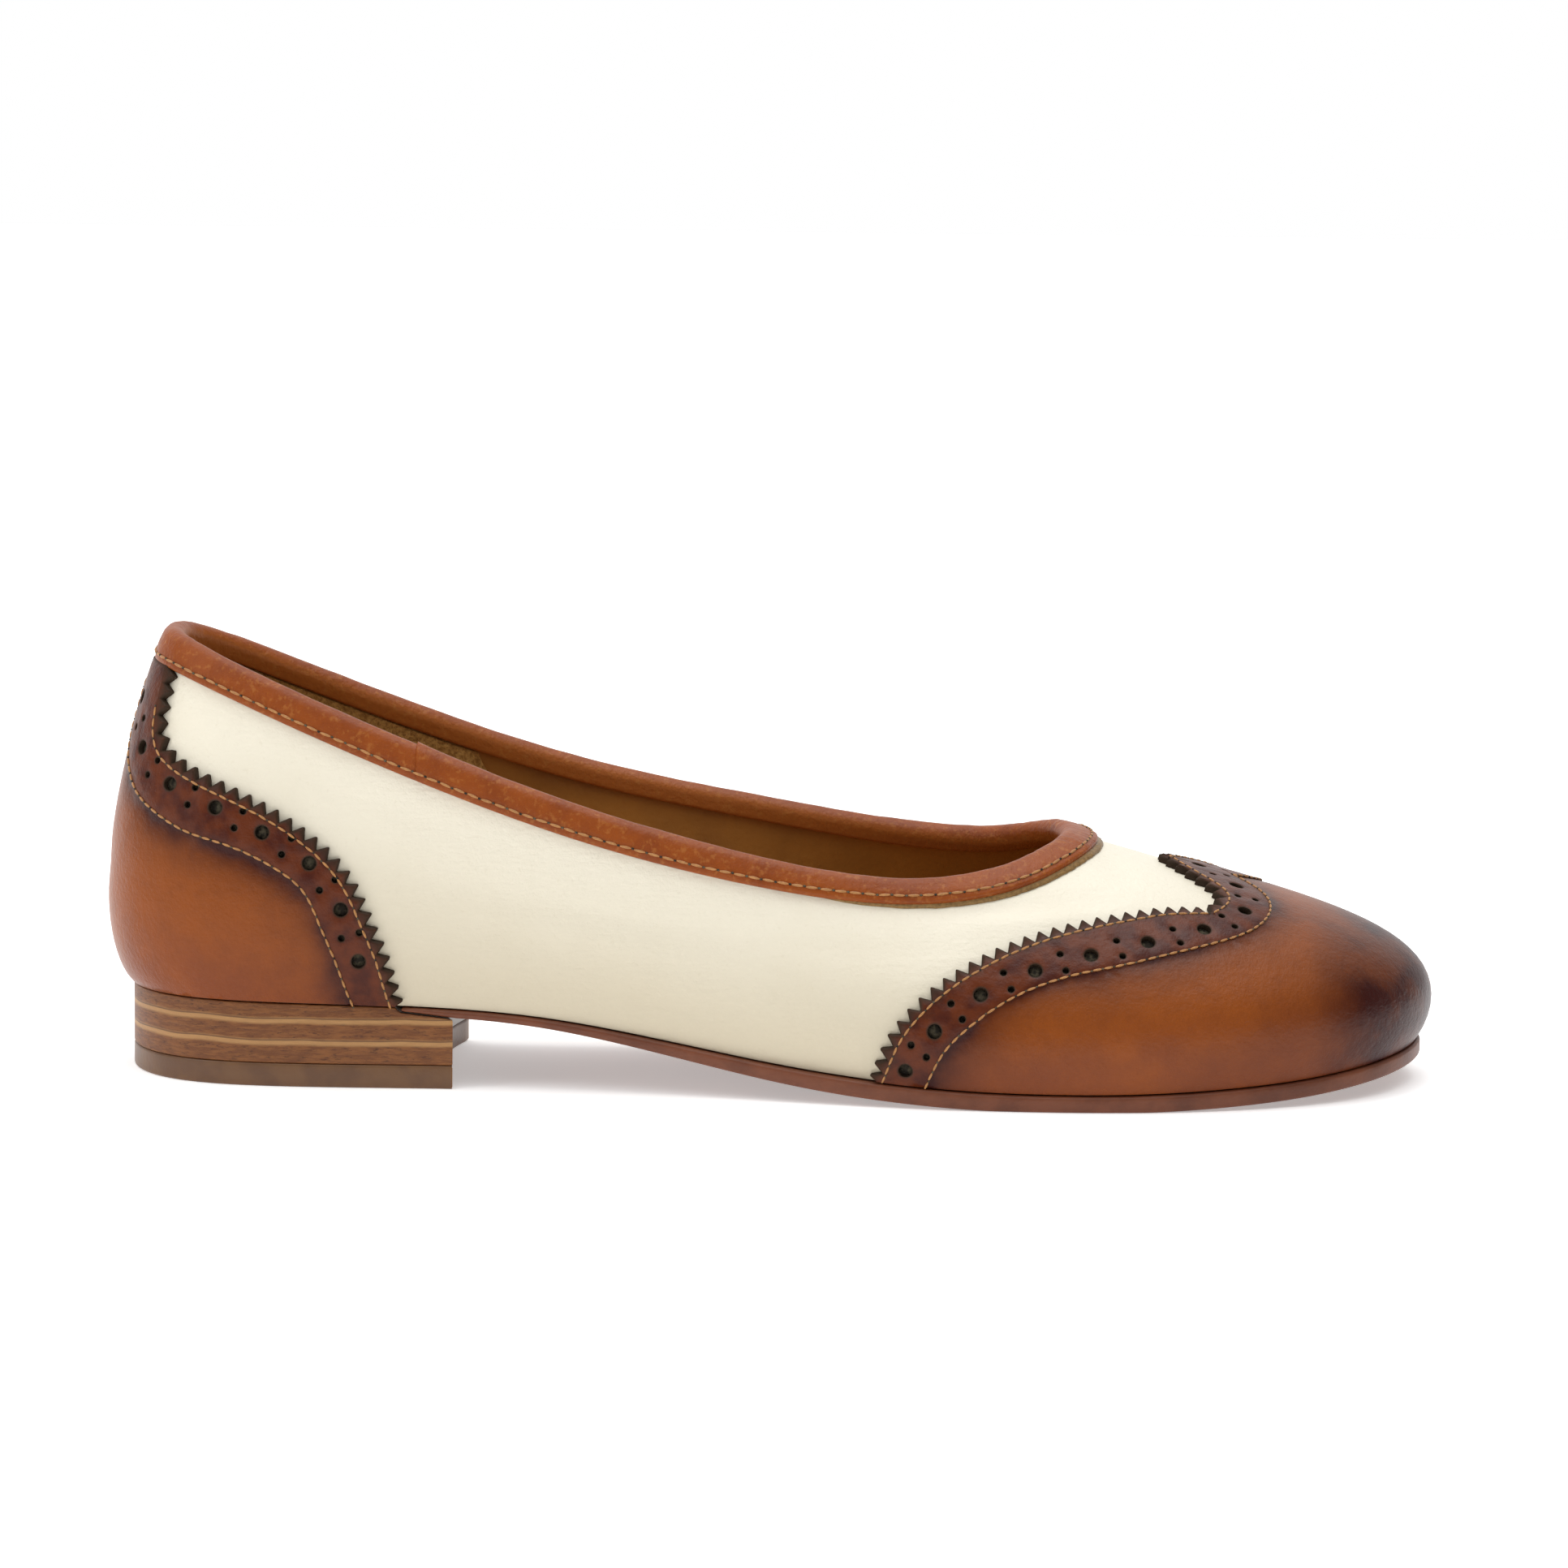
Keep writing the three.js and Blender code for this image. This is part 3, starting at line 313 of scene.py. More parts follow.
class Last:
    """The last's surface, given by rib number round the shoe and share of the way up a rib."""

    small = 0.001

    def __init__(self):
        sizes = settings("flat_last")
        upper = settings("flat_upper")
        self.sizes = sizes
        self.seat_base = settings("flat_sole").sole + upper.fit_gap
        line = np.array(SEAT_LINE)
        self.seat_shares = natural_spline(line[:, 0], line[:, 1:])
        self.ribs = self.rib_spline()
        self.shift = np.zeros(3)
        self.shift = self.shift_into_frame()

    def seat(self, x):
        shares = self.seat_shares(np.asarray(x) / self.sizes.length)
        rise = self.sizes.heel_rise * shares[..., 0] + self.sizes.toe_spring * shares[..., 1]
        return self.seat_base + rise

    def width(self, along):
        sizes = self.sizes
        return blend(sizes.seat_width, sizes.ball_width, smooth_share(WIDTH_CHANGE, along))

    def height(self, along):
        sizes = self.sizes
        return blend(sizes.back_height, sizes.instep_height, smooth_share(HEIGHT_CHANGE, along))

    def rib_row(self, rib, form, side):
        foot, spread, rim, rim_spread, rise = rib
        out, up, ease, swell, drop = form
        length = self.sizes.length
        fullness = self.sizes.fullness
        rim_height = float(self.seat(rim * length) + rise * self.height(rim))
        return (
            foot * length, side * spread * self.width(foot),
            rim * length, side * rim_spread * self.width(rim), rim_height,
            out * fullness, up, ease, swell * fullness, drop,
        )

    def rib_spline(self):
        """Spline round the closed row of ribs, laid out with a few ribs repeated at each end."""
        around = [self.rib_row(BACK_RIB, RIB_FORMS[0], 0)]
        for i, rib in enumerate(OUTER_RIBS):
            around.append(self.rib_row(rib, RIB_FORMS[i + 1], -1))
        around.append(self.rib_row(TOE_RIB, RIB_FORMS[TOE], 0))
        for i, rib in enumerate(reversed(INNER_RIBS)):
            around.append(self.rib_row(rib, RIB_FORMS[TOE - 1 - i], 1))
        repeated = 6
        places = np.arange(-repeated, RIB_COUNT + repeated + 1)
        return natural_spline(places, [around[i % RIB_COUNT] for i in places])

    def row(self, rib):
        return self.ribs(np.mod(rib, RIB_COUNT))

    def foot_normal(self, rib):
        step = self.row(np.asarray(rib) + self.small) - self.row(np.asarray(rib) - self.small)
        return unit(np.stack([step[..., 1], -step[..., 0], np.zeros(step.shape[:-1])], axis=-1))

    def point(self, rib, up):
        rib, up = np.broadcast_arrays(np.asarray(rib, float), np.asarray(up, float))
        row = self.row(rib)
        foot = np.stack([row[..., 0], row[..., 1], self.seat(row[..., 0])], axis=-1)
        rim = row[..., 2:5]
        height = rim[..., 2] - foot[..., 2]
        outward = self.foot_normal(rib)
        lower = foot + outward * row[..., 5:6]
        lower[..., 2] += row[..., 6] * height
        upper = blend(rim, foot, row[..., 7:8]) + outward * row[..., 8:9]
        upper[..., 2] = rim[..., 2] - row[..., 9] * height
        share = up[..., None]
        rest = 1 - share
        point = foot * rest**3 + lower * 3 * share * rest**2
        return point + upper * 3 * share**2 * rest + rim * share**3 + self.shift

    def directions(self, rib, up):
        """Steps per unit round the shoe and up a rib, and the outward normal."""
        rib, up = np.broadcast_arrays(np.asarray(rib, float), np.asarray(up, float))
        scale = 0.5 / self.small
        around = (self.point(rib + self.small, up) - self.point(rib - self.small, up)) * scale
        upward = (self.point(rib, up + self.small) - self.point(rib, up - self.small)) * scale
        return around, upward, unit(np.cross(around, upward))

    def offset(self, rib, up, distance):
        normal = self.directions(rib, up)[2]
        return self.point(rib, up) + normal * np.asarray(distance)[..., None]

    def beside_foot(self, rib, distance):
        """Point beside a rib's foot, level with the feather edge there."""
        point = self.point(rib, 0 * np.asarray(rib, float))
        point = point + self.foot_normal(rib) * np.asarray(distance)[..., None]
        point[..., 2] = self.seat(point[..., 0] - self.shift[0])
        return point

    def shift_into_frame(self):
        """The CAD model stands with the middle of its box over the origin."""
        ribs = np.arange(3 * RIB_COUNT) / 3
        rings = [self.beside_foot(ribs, np.zeros(len(ribs)))]
        for up in np.arange(1, 7) / 6:
            rings.append(self.offset(ribs, up + 0 * ribs, 0.0 * ribs))
        corner = np.concatenate(rings)[:, :2].min(axis=0)
        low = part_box("upper")[0]
        return np.array([low[0] - corner[0], low[1] - corner[1], 0.0])

    def up_below_rim(self, ribs, distance):
        """Share of the way up each rib at a distance below the topline, down the wall."""
        ribs = np.atleast_1d(ribs)
        ups = np.linspace(1, 0.4, 241)
        points = self.point(ribs[:, None], ups)
        steps = np.linalg.norm(np.diff(points, axis=1), axis=2)
        travelled = np.concatenate([np.zeros((len(ribs), 1)), np.cumsum(steps, axis=1)], axis=1)
        distances = np.broadcast_to(distance, ribs.shape)
        rows = zip(distances, travelled)
        return np.array([np.interp(reach, passed, ups) for reach, passed in rows])


def binding_outside(ribs):
    """Height of the binding on the outside: it is lower beside the ball than elsewhere."""
    sizes = settings("flat_binding")
    from_back = np.minimum(np.mod(ribs, RIB_COUNT), RIB_COUNT - np.mod(ribs, RIB_COUNT))
    return sizes.outside * (1 - sizes.narrowing * bump_shape(from_back - 7.1, 3.6))


def nearest_turn(rib, middle):
    """The rib number that lies within half a turn of the middle one."""
    return middle + np.mod(rib - middle + TOE, RIB_COUNT) - TOE


# Soft creases and dents of the worn leather: middle as rib and up, half lengths in ribs and
# shares, turn of the crease in degrees, and depth as a share of the crease depth
SOFT_CREASES = [
    (6.2, 0.66, 2.6, 0.05, 4, -0.5), (5.9, 0.52, 2.2, 0.06, 2, 0.35),
    (8.9, 0.86, 1.5, 0.04, -5, -0.7), (9.3, 0.79, 1.2, 0.035, -6, 0.4),
    (11.5, 0.92, 0.9, 0.035, 12, -0.6), (12.2, 0.79, 0.7, 0.03, 8, -0.5),
    (4.4, 0.42, 0.9, 0.1, -20, -0.45), (5.0, 0.2, 1.4, 0.07, 5, -0.5),
    (7.0, 0.3, 0.5, 0.16, 12, 0.45), (3.0, 0.8, 1.1, 0.04, 0, -0.4),
    (19.8, 0.64, 2.6, 0.05, -4, -0.5), (17.0, 0.86, 1.4, 0.04, 5, -0.6),
    (14.5, 0.91, 0.9, 0.035, -12, -0.6), (21.5, 0.45, 0.9, 0.1, 20, -0.45),
    (13.0, 0.93, 0.5, 0.03, 0, -0.4), (0.0, 0.42, 1.2, 0.06, 0, -0.5),
]


def crease_lift(rib, up):
    """How far the soft troughs and ridges move the leather, in or out."""
    depth = settings("flat_upper").crease_depth
    lift = np.zeros(np.broadcast(rib, up).shape)
    for middle, height, half_length, half_width, turn, share in SOFT_CREASES:
        along = nearest_turn(rib, middle) - middle
        tilt = math.tan(math.radians(turn)) * 0.4
        across = up - height - tilt * along
        lift += share * depth * bump_shape(along, 2 * half_length) * bump_shape(across, 2 * half_width)
    return lift


def smooth_object(name, points, faces, materials, looks=None, marks=None, sharp_angle=55):
    """A mesh object from points in metres, with a material per face and marks per point."""
    mesh = bpy.data.meshes.new(name)
    mesh.from_pydata(np.asarray(points).tolist(), [], [list(map(int, face)) for face in faces])
    for material in materials:
        mesh.materials.append(material)
    if looks is not None:
        mesh.polygons.foreach_set("material_index", np.asarray(looks, dtype=np.int32))
    for mark, values in (marks or {}).items():
        layer = mesh.attributes.new(mark, "FLOAT", "POINT")
        layer.data.foreach_set("value", np.asarray(values, dtype=np.float32))
    mesh.shade_smooth()
    mesh.set_sharp_from_angle(angle=math.radians(sharp_angle))
    mesh.update()
    mesh.validate()
    piece = bpy.data.objects.new(name, mesh)
    bpy.context.scene.collection.objects.link(piece)
    return piece


def finish_piece(piece, slot, *nodes):
    """Lets the piece ride on the shoe's one body and stand for the CAD nodes named."""
    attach(piece, BODY)
    if nodes:
        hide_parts(*nodes)


def tube_faces(sections, size, closed_round=True, closed_along=False):
    """Quads over a row of equally long sections: point i of section s is number s * size + i."""
    faces = []
    spans = sections if closed_along else sections - 1
    steps = size if closed_round else size - 1
    for section in range(spans):
        here = section * size
        after = (section + 1) % sections * size
        for i in range(steps):
            j = (i + 1) % size
            faces.append((here + i, after + i, after + j, here + j))
    return faces


def triangulate(loops, lines, loose, keep):
    """Flat triangles over closed loops, open lines and loose points, where keep says so."""
    points = []
    edges = []
    for loop in loops:
        first = len(points)
        points.extend(loop)
        edges += [(first + i, first + (i + 1) % len(loop)) for i in range(len(loop))]
    for line in lines:
        first = len(points)
        points.extend(line)
        edges += [(first + i, first + i + 1) for i in range(len(line) - 1)]
    fixed = np.array(points)
    gaps = distances_to(loose, fixed)
    points.extend(loose[gaps > 0.45 * spacing_of(loose)])
    made = delaunay_2d_cdt([Vector(point) for point in points], edges, [], 0, 1e-9)
    flat = np.array([point[:] for point in made[0]])
    triangles = np.array([list(face) for face in made[2]])
    middles = flat[triangles].mean(axis=1)
    return flat, triangles[keep(middles)]


def spacing_of(loose):
    """Distance between the first two loose points, which lie on a grid."""
    return np.linalg.norm(loose[1] - loose[0])


def distances_to(points, samples, block=500):
    """Distance from each point to the nearest sample."""
    nearest = []
    for start in range(0, len(points), block):
        part = points[start:start + block]
        gaps = np.linalg.norm(part[:, None, :] - samples[None, :, :], axis=2)
        nearest.append(gaps.min(axis=1))
    return np.concatenate(nearest)


def inside_loop(points, loop):
    """Whether each flat point lies inside a closed loop."""
    inside = np.zeros(len(points), dtype=bool)
    x, y = points[:, 0], points[:, 1]
    for (ax, ay), (bx, by) in zip(loop, np.roll(loop, -1, axis=0)):
        crosses = (ay > y) != (by > y)
        rise = by - ay if by != ay else 1e-12
        inside ^= crosses & (x < ax + (bx - ax) * (y - ay) / rise)
    return inside


def outline_edges(triangles):
    """Edges that belong to one triangle only, in that triangle's direction."""
    sides = np.concatenate([triangles[:, [0, 1]], triangles[:, [1, 2]], triangles[:, [2, 0]]])
    known = set(map(tuple, sides.tolist()))
    return [side for side in known if (side[1], side[0]) not in known]


def shell_faces(triangles, count):
    """Triangles on top, the same ones turned below, and walls round every open edge. Point i of
    the top has its partner below at i + count."""
    faces = [tuple(face) for face in triangles]
    faces += [(a + count, c + count, b + count) for a, b, c in triangles]
    faces += [(b, a, a + count, b + count) for a, b in outline_edges(triangles)]
    return faces


def keep_used(points, triangles, *columns):
    """Drops the points that no triangle uses."""
    used = np.unique(triangles)
    number = np.full(len(points), -1)
    number[used] = np.arange(len(used))
    return (points[used], number[triangles], *(column[used] for column in columns))


def linear(hex_colour):
    """An sRGB hex colour as linear RGBA."""
    channels = [int(hex_colour[i:i + 2], 16) / 255 for i in (1, 3, 5)]
    values = [c / 12.92 if c <= 0.04045 else ((c + 0.055) / 1.055) ** 2.4 for c in channels]
    return (*values, 1.0)


def add_node(tree, kind, inputs=None, **options):
    """Adds a node, with plain values or links for its inputs."""
    made = tree.nodes.new(kind)
    for option, value in options.items():
        setattr(made, option, value)
    for socket, value in (inputs or {}).items():
        if isinstance(value, bpy.types.NodeSocket):
            tree.links.new(value, made.inputs[socket])
        else:
            made.inputs[socket].default_value = value
    return made


def new_material(name):
    material = bpy.data.materials.new(name)
    material.use_nodes = True
    material.node_tree.nodes.clear()
    return material, material.node_tree


def finish_material(tree, inputs):
    """Ends a material in one Principled shader."""
    shader = add_node(tree, "ShaderNodeBsdfPrincipled", inputs)
    add_node(tree, "ShaderNodeOutputMaterial", {"Surface": shader.outputs[0]})


def mix(tree, share, a, b, mode="MIX"):
    node = add_node(tree, "ShaderNodeMix", data_type="RGBA", blend_type=mode, clamp_factor=True)
    for socket, value in ((0, share), (6, a), (7, b)):
        if isinstance(value, bpy.types.NodeSocket):
            tree.links.new(value, node.inputs[socket])
        else:
            node.inputs[socket].default_value = value
    return node.outputs[2]


def remap(tree, value, low, high, to_low=0.0, to_high=1.0):
    node = add_node(
        tree, "ShaderNodeMapRange",
        {"Value": value, "From Min": low, "From Max": high, "To Min": to_low, "To Max": to_high},
        interpolation_type="SMOOTHSTEP",
    )
    return node.outputs["Result"]


def mark(tree, name):
    return add_node(tree, "ShaderNodeAttribute", attribute_name=name).outputs["Fac"]


def coordinates(tree, scale=(1, 1, 1)):
    place = add_node(tree, "ShaderNodeTexCoord").outputs["Object"]
    if scale == (1, 1, 1):
        return place
    return add_node(tree, "ShaderNodeMapping", {"Vector": place, "Scale": scale}).outputs[0]


def noise(tree, place, feature, detail=2.0, roughness=0.5):
    """Noise whose lumps are about as wide as feature, in metres."""
    return add_node(
        tree, "ShaderNodeTexNoise",
        {"Vector": place, "Scale": 1 / feature, "Detail": detail, "Roughness": roughness},
    ).outputs["Fac"]


def cells(tree, place, feature, kind="SMOOTH_F1"):
    """Rounded cells about as wide as feature, in metres."""
    return add_node(
        tree, "ShaderNodeTexVoronoi", {"Vector": place, "Scale": 1 / feature}, feature=kind
    ).outputs["Distance"]


def bump(tree, height, depth, under=None):
    """Bump of a height pattern from 0 to 1, as deep as depth in metres."""
    inputs = {"Height": height, "Strength": 1.0, "Distance": depth}
    if under is not None:
        inputs["Normal"] = under
    return add_node(tree, "ShaderNodeBump", inputs).outputs["Normal"]


def add_up(tree, a, b, operation="ADD"):
    node = add_node(tree, "ShaderNodeMath", operation=operation)
    for socket, value in ((0, a), (1, b)):
        if isinstance(value, bpy.types.NodeSocket):
            tree.links.new(value, node.inputs[socket])
        else:
            node.inputs[socket].default_value = value
    return node.outputs[0]


def leather_grain(tree, cell, depth, fold_depth=0.00012):
    """Grain of calf leather: fine rounded cells over long shallow folds."""
    place = coordinates(tree)
    folds = bump(tree, noise(tree, place, 0.006, 3.0, 0.45), fold_depth)
    broken = add_up(tree, cells(tree, place, cell), noise(tree, place, 0.4 * cell, 2.0))
    return bump(tree, broken, depth, folds)


def make_cream_leather(colours):
    # Smooth cream calf, lightly finished: a faint satin sheen and very fine grain
    material, tree = new_material("cream_calf_leather")
    place = coordinates(tree)
    pale = linear(colours.cream)
    warm = linear("#DCD2BA")
    patch = remap(tree, noise(tree, place, 0.03, 3.0), 0.45, 0.75, 0.0, 0.3)
    tone = mix(tree, patch, pale, warm)
    # The 'low' mark darkens the cream towards the feather edge: painted shade
    tone = mix(tree, mark(tree, "low"), tone, linear("#C8BCA2"))
    fine_folds = noise(tree, coordinates(tree, (0.22, 0.6, 1.0)), 0.0011, 3.0)
    speck = remap(tree, noise(tree, place, 0.0009, 2.0), 0.62, 0.78, 0.0, 0.16)
    tone = mix(tree, speck, tone, linear("#C9BD9F"))
    finish_material(tree, {
        "Base Color": tone, "Roughness": 0.5, "IOR": 1.5,
        "Normal": bump(tree, fine_folds, 0.00012, leather_grain(tree, 0.0009, 0.00007, 0.0002)),
        "Coat Weight": 0.06, "Coat Roughness": 0.35,
    })
    return material


def make_tan_leather(colours):
    # Tan calf burnished by hand and polished: deep brown where the burnish lies, a clear wax coat
    material, tree = new_material("burnished_tan_calf_leather")
    place = coordinates(tree)
    cloud = noise(tree, place, 0.016, 4.0, 0.6)
    # Darker tan towards the feather edge, broken up by the cloud: painted shade
    low = remap(tree, add_up(tree, mark(tree, "low"), cloud, "MULTIPLY"), 0.1, 0.62)
    tone = mix(tree, low, linear(colours.tan), linear(colours.shaded_tan))
    mottle = remap(tree, noise(tree, place, 0.0035, 3.0, 0.6), 0.42, 0.72, 0.0, 0.28)
    tone = mix(tree, mottle, tone, linear("#7C3F19"))
    uneven = add_up(tree, mark(tree, "burnish"), remap(tree, cloud, 0.3, 0.7, 0.72, 1.2), "MULTIPLY")
    tone = mix(tree, uneven, tone, linear(colours.mahogany))
    strip_tone = mix(
        tree, remap(tree, noise(tree, place, 0.004, 3.0), 0.35, 0.7),
        linear(colours.strip), linear("#43190D"),
    )
    tone = mix(tree, mark(tree, "strip"), tone, strip_tone)
    tone = mix(tree, mark(tree, "cut"), tone, linear(colours.cut))
    roughness = remap(tree, mark(tree, "cut"), 0.2, 0.9, 0.36, 0.85)
    finish_material(tree, {
        "Base Color": tone, "Roughness": roughness, "IOR": 1.5,
        "Normal": leather_grain(tree, 0.0009, 0.00009, 0.00022),
        "Specular IOR Level": 0.16, "Coat Weight": 0.08, "Coat Roughness": 0.22,
    })
    return material


def make_binding_leather(colours):
    # Thin tan kid leather, folded and pulled round the edge: fine creases across the roll
    material, tree = new_material("tan_kid_leather_binding")
    place = coordinates(tree)
    cloud = remap(tree, noise(tree, place, 0.009, 4.0, 0.6), 0.35, 0.7)
    tone = mix(tree, cloud, linear(colours.binding), linear("#803C14"))
    tone = mix(tree, mark(tree, "inside"), tone, linear("#A65E26"))
    # Small lighter golden specks: painted highlights on the grain
    painted_glints = remap(tree, noise(tree, place, 0.0012, 3.0, 0.6), 0.52, 0.7, 0.0, 0.35)
    tone = mix(tree, painted_glints, tone, linear("#B5763A"))
    fibre = mix(tree, noise(tree, place, 0.0006, 3.0), linear("#4E3A20"), linear("#A88350"))
    tone = mix(tree, mark(tree, "cut"), tone, fibre)
    creases = noise(tree, coordinates(tree, (1.0, 0.35, 0.22)), 0.0012, 3.0)
    finish_material(tree, {
        "Base Color": tone, "Roughness": 0.4, "IOR": 1.5,
        "Normal": bump(tree, creases, 0.00018, leather_grain(tree, 0.0008, 0.00009)),
        "Specular IOR Level": 0.18, "Coat Weight": 0.08, "Coat Roughness": 0.3,
    })
    return material


def make_lining_leather(colours):
    # Undyed-looking ochre lining leather: matt, with a soft uneven grain
    material, tree = new_material("ochre_lining_leather")
    place = coordinates(tree)
    cloud = remap(tree, noise(tree, place, 0.02, 3.0), 0.35, 0.7)
    tone = mix(tree, cloud, linear(colours.lining), linear("#96601F"))
    finish_material(tree, {
        "Base Color": tone, "Roughness": 0.62, "IOR": 1.5,
        "Normal": leather_grain(tree, 0.001, 0.00006),
    })
    return material


def make_sock_leather(colours):
    # Sock leather laid over the insole: smooth and matt, a little darker where the foot presses
    material, tree = new_material("sock_leather")
    place = coordinates(tree)
    cloud = remap(tree, noise(tree, place, 0.03, 3.0), 0.35, 0.7)
    tone = mix(tree, cloud, linear(colours.sock), linear("#94693A"))
    tone = mix(tree, mark(tree, "pressed"), tone, linear("#7E5428"))
    finish_material(tree, {
        "Base Color": tone, "Roughness": 0.58, "IOR": 1.5,
        "Normal": leather_grain(tree, 0.001, 0.00005),
    })
    return material


def make_suede(colours):
    # Suede heel grip: brushed flesh side, rough and soft at grazing light
    material, tree = new_material("golden_brown_suede")
    place = coordinates(tree)
    nap = noise(tree, place, 0.0009, 5.0, 0.7)
    tone = mix(tree, remap(tree, nap, 0.35, 0.65), linear("#94672C"), linear(colours.suede))
    finish_material(tree, {
        "Base Color": tone, "Roughness": 0.95, "IOR": 1.45,
        "Normal": bump(tree, nap, 0.0005),
        "Sheen Weight": 0.45, "Sheen Roughness": 0.45, "Sheen Tint": linear("#C79A5A"),
    })
    return material


def make_sole_leather(colours):
    # Sole leather with a painted and burnished edge: closed, nearly even reddish brown
    material, tree = new_material("burnished_sole_leather")
    place = coordinates(tree)
    cloud = remap(tree, noise(tree, place, 0.008, 4.0, 0.6), 0.35, 0.7)
    tone = mix(tree, cloud, linear(colours.sole), linear("#60321D"))
    fibre = noise(tree, coordinates(tree, (0.2, 0.2, 1.0)), 0.0007, 3.0)
    finish_material(tree, {
        "Base Color": tone, "Roughness": 0.44, "IOR": 1.5,
        "Normal": bump(tree, fibre, 0.00006, leather_grain(tree, 0.0012, 0.00004)),
        "Specular IOR Level": 0.35, "Coat Weight": 0.06, "Coat Roughness": 0.35,
    })
    return material


def make_stacked_leather(colours, sizes):
    # Lifts of bark-tanned leather glued and sanded: light lines between them, long dark fibres
    material, tree = new_material("stacked_heel_leather")
    split = add_node(tree, "ShaderNodeSeparateXYZ", {"Vector": coordinates(tree)})
    wave = noise(tree, coordinates(tree, (1.0, 1.0, 0.2)), 0.02, 2.0)
    height = add_up(tree, split.outputs["Z"], remap(tree, wave, 0.2, 0.8, -0.0003, 0.0003))
    fibre = noise(tree, coordinates(tree, (0.16, 0.16, 1.0)), 0.0005, 5.0, 0.7)
    tone = mix(
        tree, remap(tree, fibre, 0.4, 0.62), linear("#6C3E1C"), linear(colours.stack)
    )
    streak = noise(tree, coordinates(tree, (0.22, 0.22, 1.0)), 0.0004, 4.0, 0.7)
    tone = mix(tree, remap(tree, streak, 0.56, 0.66, 0.0, 0.85), tone, linear("#462610"))
    pale = mix(tree, fibre, linear("#A87B4C"), linear(colours.stack_line))
    for line in range(1, 3):
        middle = sizes.top_piece + line * sizes.lift
        gap = add_up(tree, add_up(tree, height, middle, "SUBTRACT"), 0.0, "ABSOLUTE")
        tone = mix(tree, remap(tree, gap, 0.0002, 0.0009, 0.85, 0.0), tone, pale)
        seam = add_up(tree, add_up(tree, height, middle + 0.0004, "SUBTRACT"), 0.0, "ABSOLUTE")
        tone = mix(tree, remap(tree, seam, 0.00005, 0.0002, 0.7, 0.0), tone, linear("#4A2B18"))
    finish_material(tree, {
        "Base Color": tone, "Roughness": 0.5, "IOR": 1.5,
        "Normal": bump(tree, fibre, 0.00016), "Specular IOR Level": 0.35,
        "Coat Weight": 0.05, "Coat Roughness": 0.4,
    })
    return material


def make_plastic(colours):
    # Heel block of moulded ABS: satin, with a faint mould texture
    material, tree = new_material("moulded_abs")
    place = coordinates(tree)
    tone = mix(
        tree, remap(tree, noise(tree, place, 0.01, 2.0), 0.4, 0.7, 0.0, 0.4),
        linear(colours.plastic), linear("#A6A49E"),
    )
    finish_material(tree, {
        "Base Color": tone, "Roughness": 0.5, "IOR": 1.53,
        "Normal": bump(tree, noise(tree, place, 0.0006, 3.0), 0.00004),
    })
    return material


def make_rubber(colours):
    # Top piece of honey-brown rubber: a little light passes through its edge
    material, tree = new_material("honey_brown_rubber")
    place = coordinates(tree)
    cloud = remap(tree, noise(tree, place, 0.006, 3.0), 0.35, 0.7)
    tone = mix(tree, cloud, linear(colours.rubber), linear("#603E22"))
    finish_material(tree, {
        "Base Color": tone, "Roughness": 0.4, "IOR": 1.52,
        "Subsurface Weight": 0.2, "Subsurface Radius": (0.002, 0.0012, 0.0006),
        "Subsurface Scale": 1.0,
        "Normal": bump(tree, noise(tree, place, 0.0009, 3.0), 0.00005),
    })
    return material


def make_thread(name, hex_colour):
    # Bonded polyester thread: waxed and slightly shiny, its twist as fine slanting ridges
    material, tree = new_material(name)
    place = coordinates(tree)
    twist = noise(tree, place, 0.0005, 2.0)
    tone = mix(tree, remap(tree, twist, 0.4, 0.6, 0.0, 0.35), linear(hex_colour), linear("#7A5026"))
    finish_material(tree, {
        "Base Color": tone, "Roughness": 0.55, "IOR": 1.5,
        "Normal": bump(tree, twist, 0.00008),
        "Sheen Weight": 0.15, "Sheen Roughness": 0.4,
    })
    return material


def make_backing_and_needle_shade(colours):
    # Dark backing cloth seen through the punched holes, also used as painted shade in the needle holes
    # between stitches
    material, tree = new_material("dark_backing_and_needle_shade")
    place = coordinates(tree)
    tone = mix(
        tree, remap(tree, noise(tree, place, 0.001, 3.0), 0.4, 0.6), linear("#2A241B"),
        linear("#5A5240"),
    )
    finish_material(tree, {
        "Base Color": tone, "Roughness": 0.9, "IOR": 1.45,
        "Normal": bump(tree, noise(tree, place, 0.0004, 3.0), 0.0001),
    })
    return material


def make_floor_material(colours):
    # White translucent studio table lit softly from below, matt
    material, tree = new_material("white_studio_paper")
    finish_material(tree, {
        "Base Color": linear(colours.floor), "Roughness": 0.9, "IOR": 1.4,
        "Emission Color": (1, 1, 1, 1), "Emission Strength": 0.36,
    })
    return material


def finish_of(name):
    """The material of this name, made when it is first asked for."""
    if name in bpy.data.materials:
        return bpy.data.materials[name]
    colours = settings("flat_colours")
    makers = {
        "cream_calf_leather": lambda: make_cream_leather(colours),
        "burnished_tan_calf_leather": lambda: make_tan_leather(colours),
        "tan_kid_leather_binding": lambda: make_binding_leather(colours),
        "ochre_lining_leather": lambda: make_lining_leather(colours),
        "sock_leather": lambda: make_sock_leather(colours),
        "golden_brown_suede": lambda: make_suede(colours),
        "burnished_sole_leather": lambda: make_sole_leather(colours),
        "stacked_heel_leather": lambda: make_stacked_leather(colours, settings("flat_sole")),
        "moulded_abs": lambda: make_plastic(colours),
        "honey_brown_rubber": lambda: make_rubber(colours),
        "overlay_thread": lambda: make_thread("overlay_thread", colours.thread),
        "binding_thread": lambda: make_thread("binding_thread", colours.binding_thread),
        "dark_backing_and_needle_shade": lambda: make_backing_and_needle_shade(colours),
        "white_studio_paper": lambda: make_floor_material(colours),
    }
    return makers[name]()


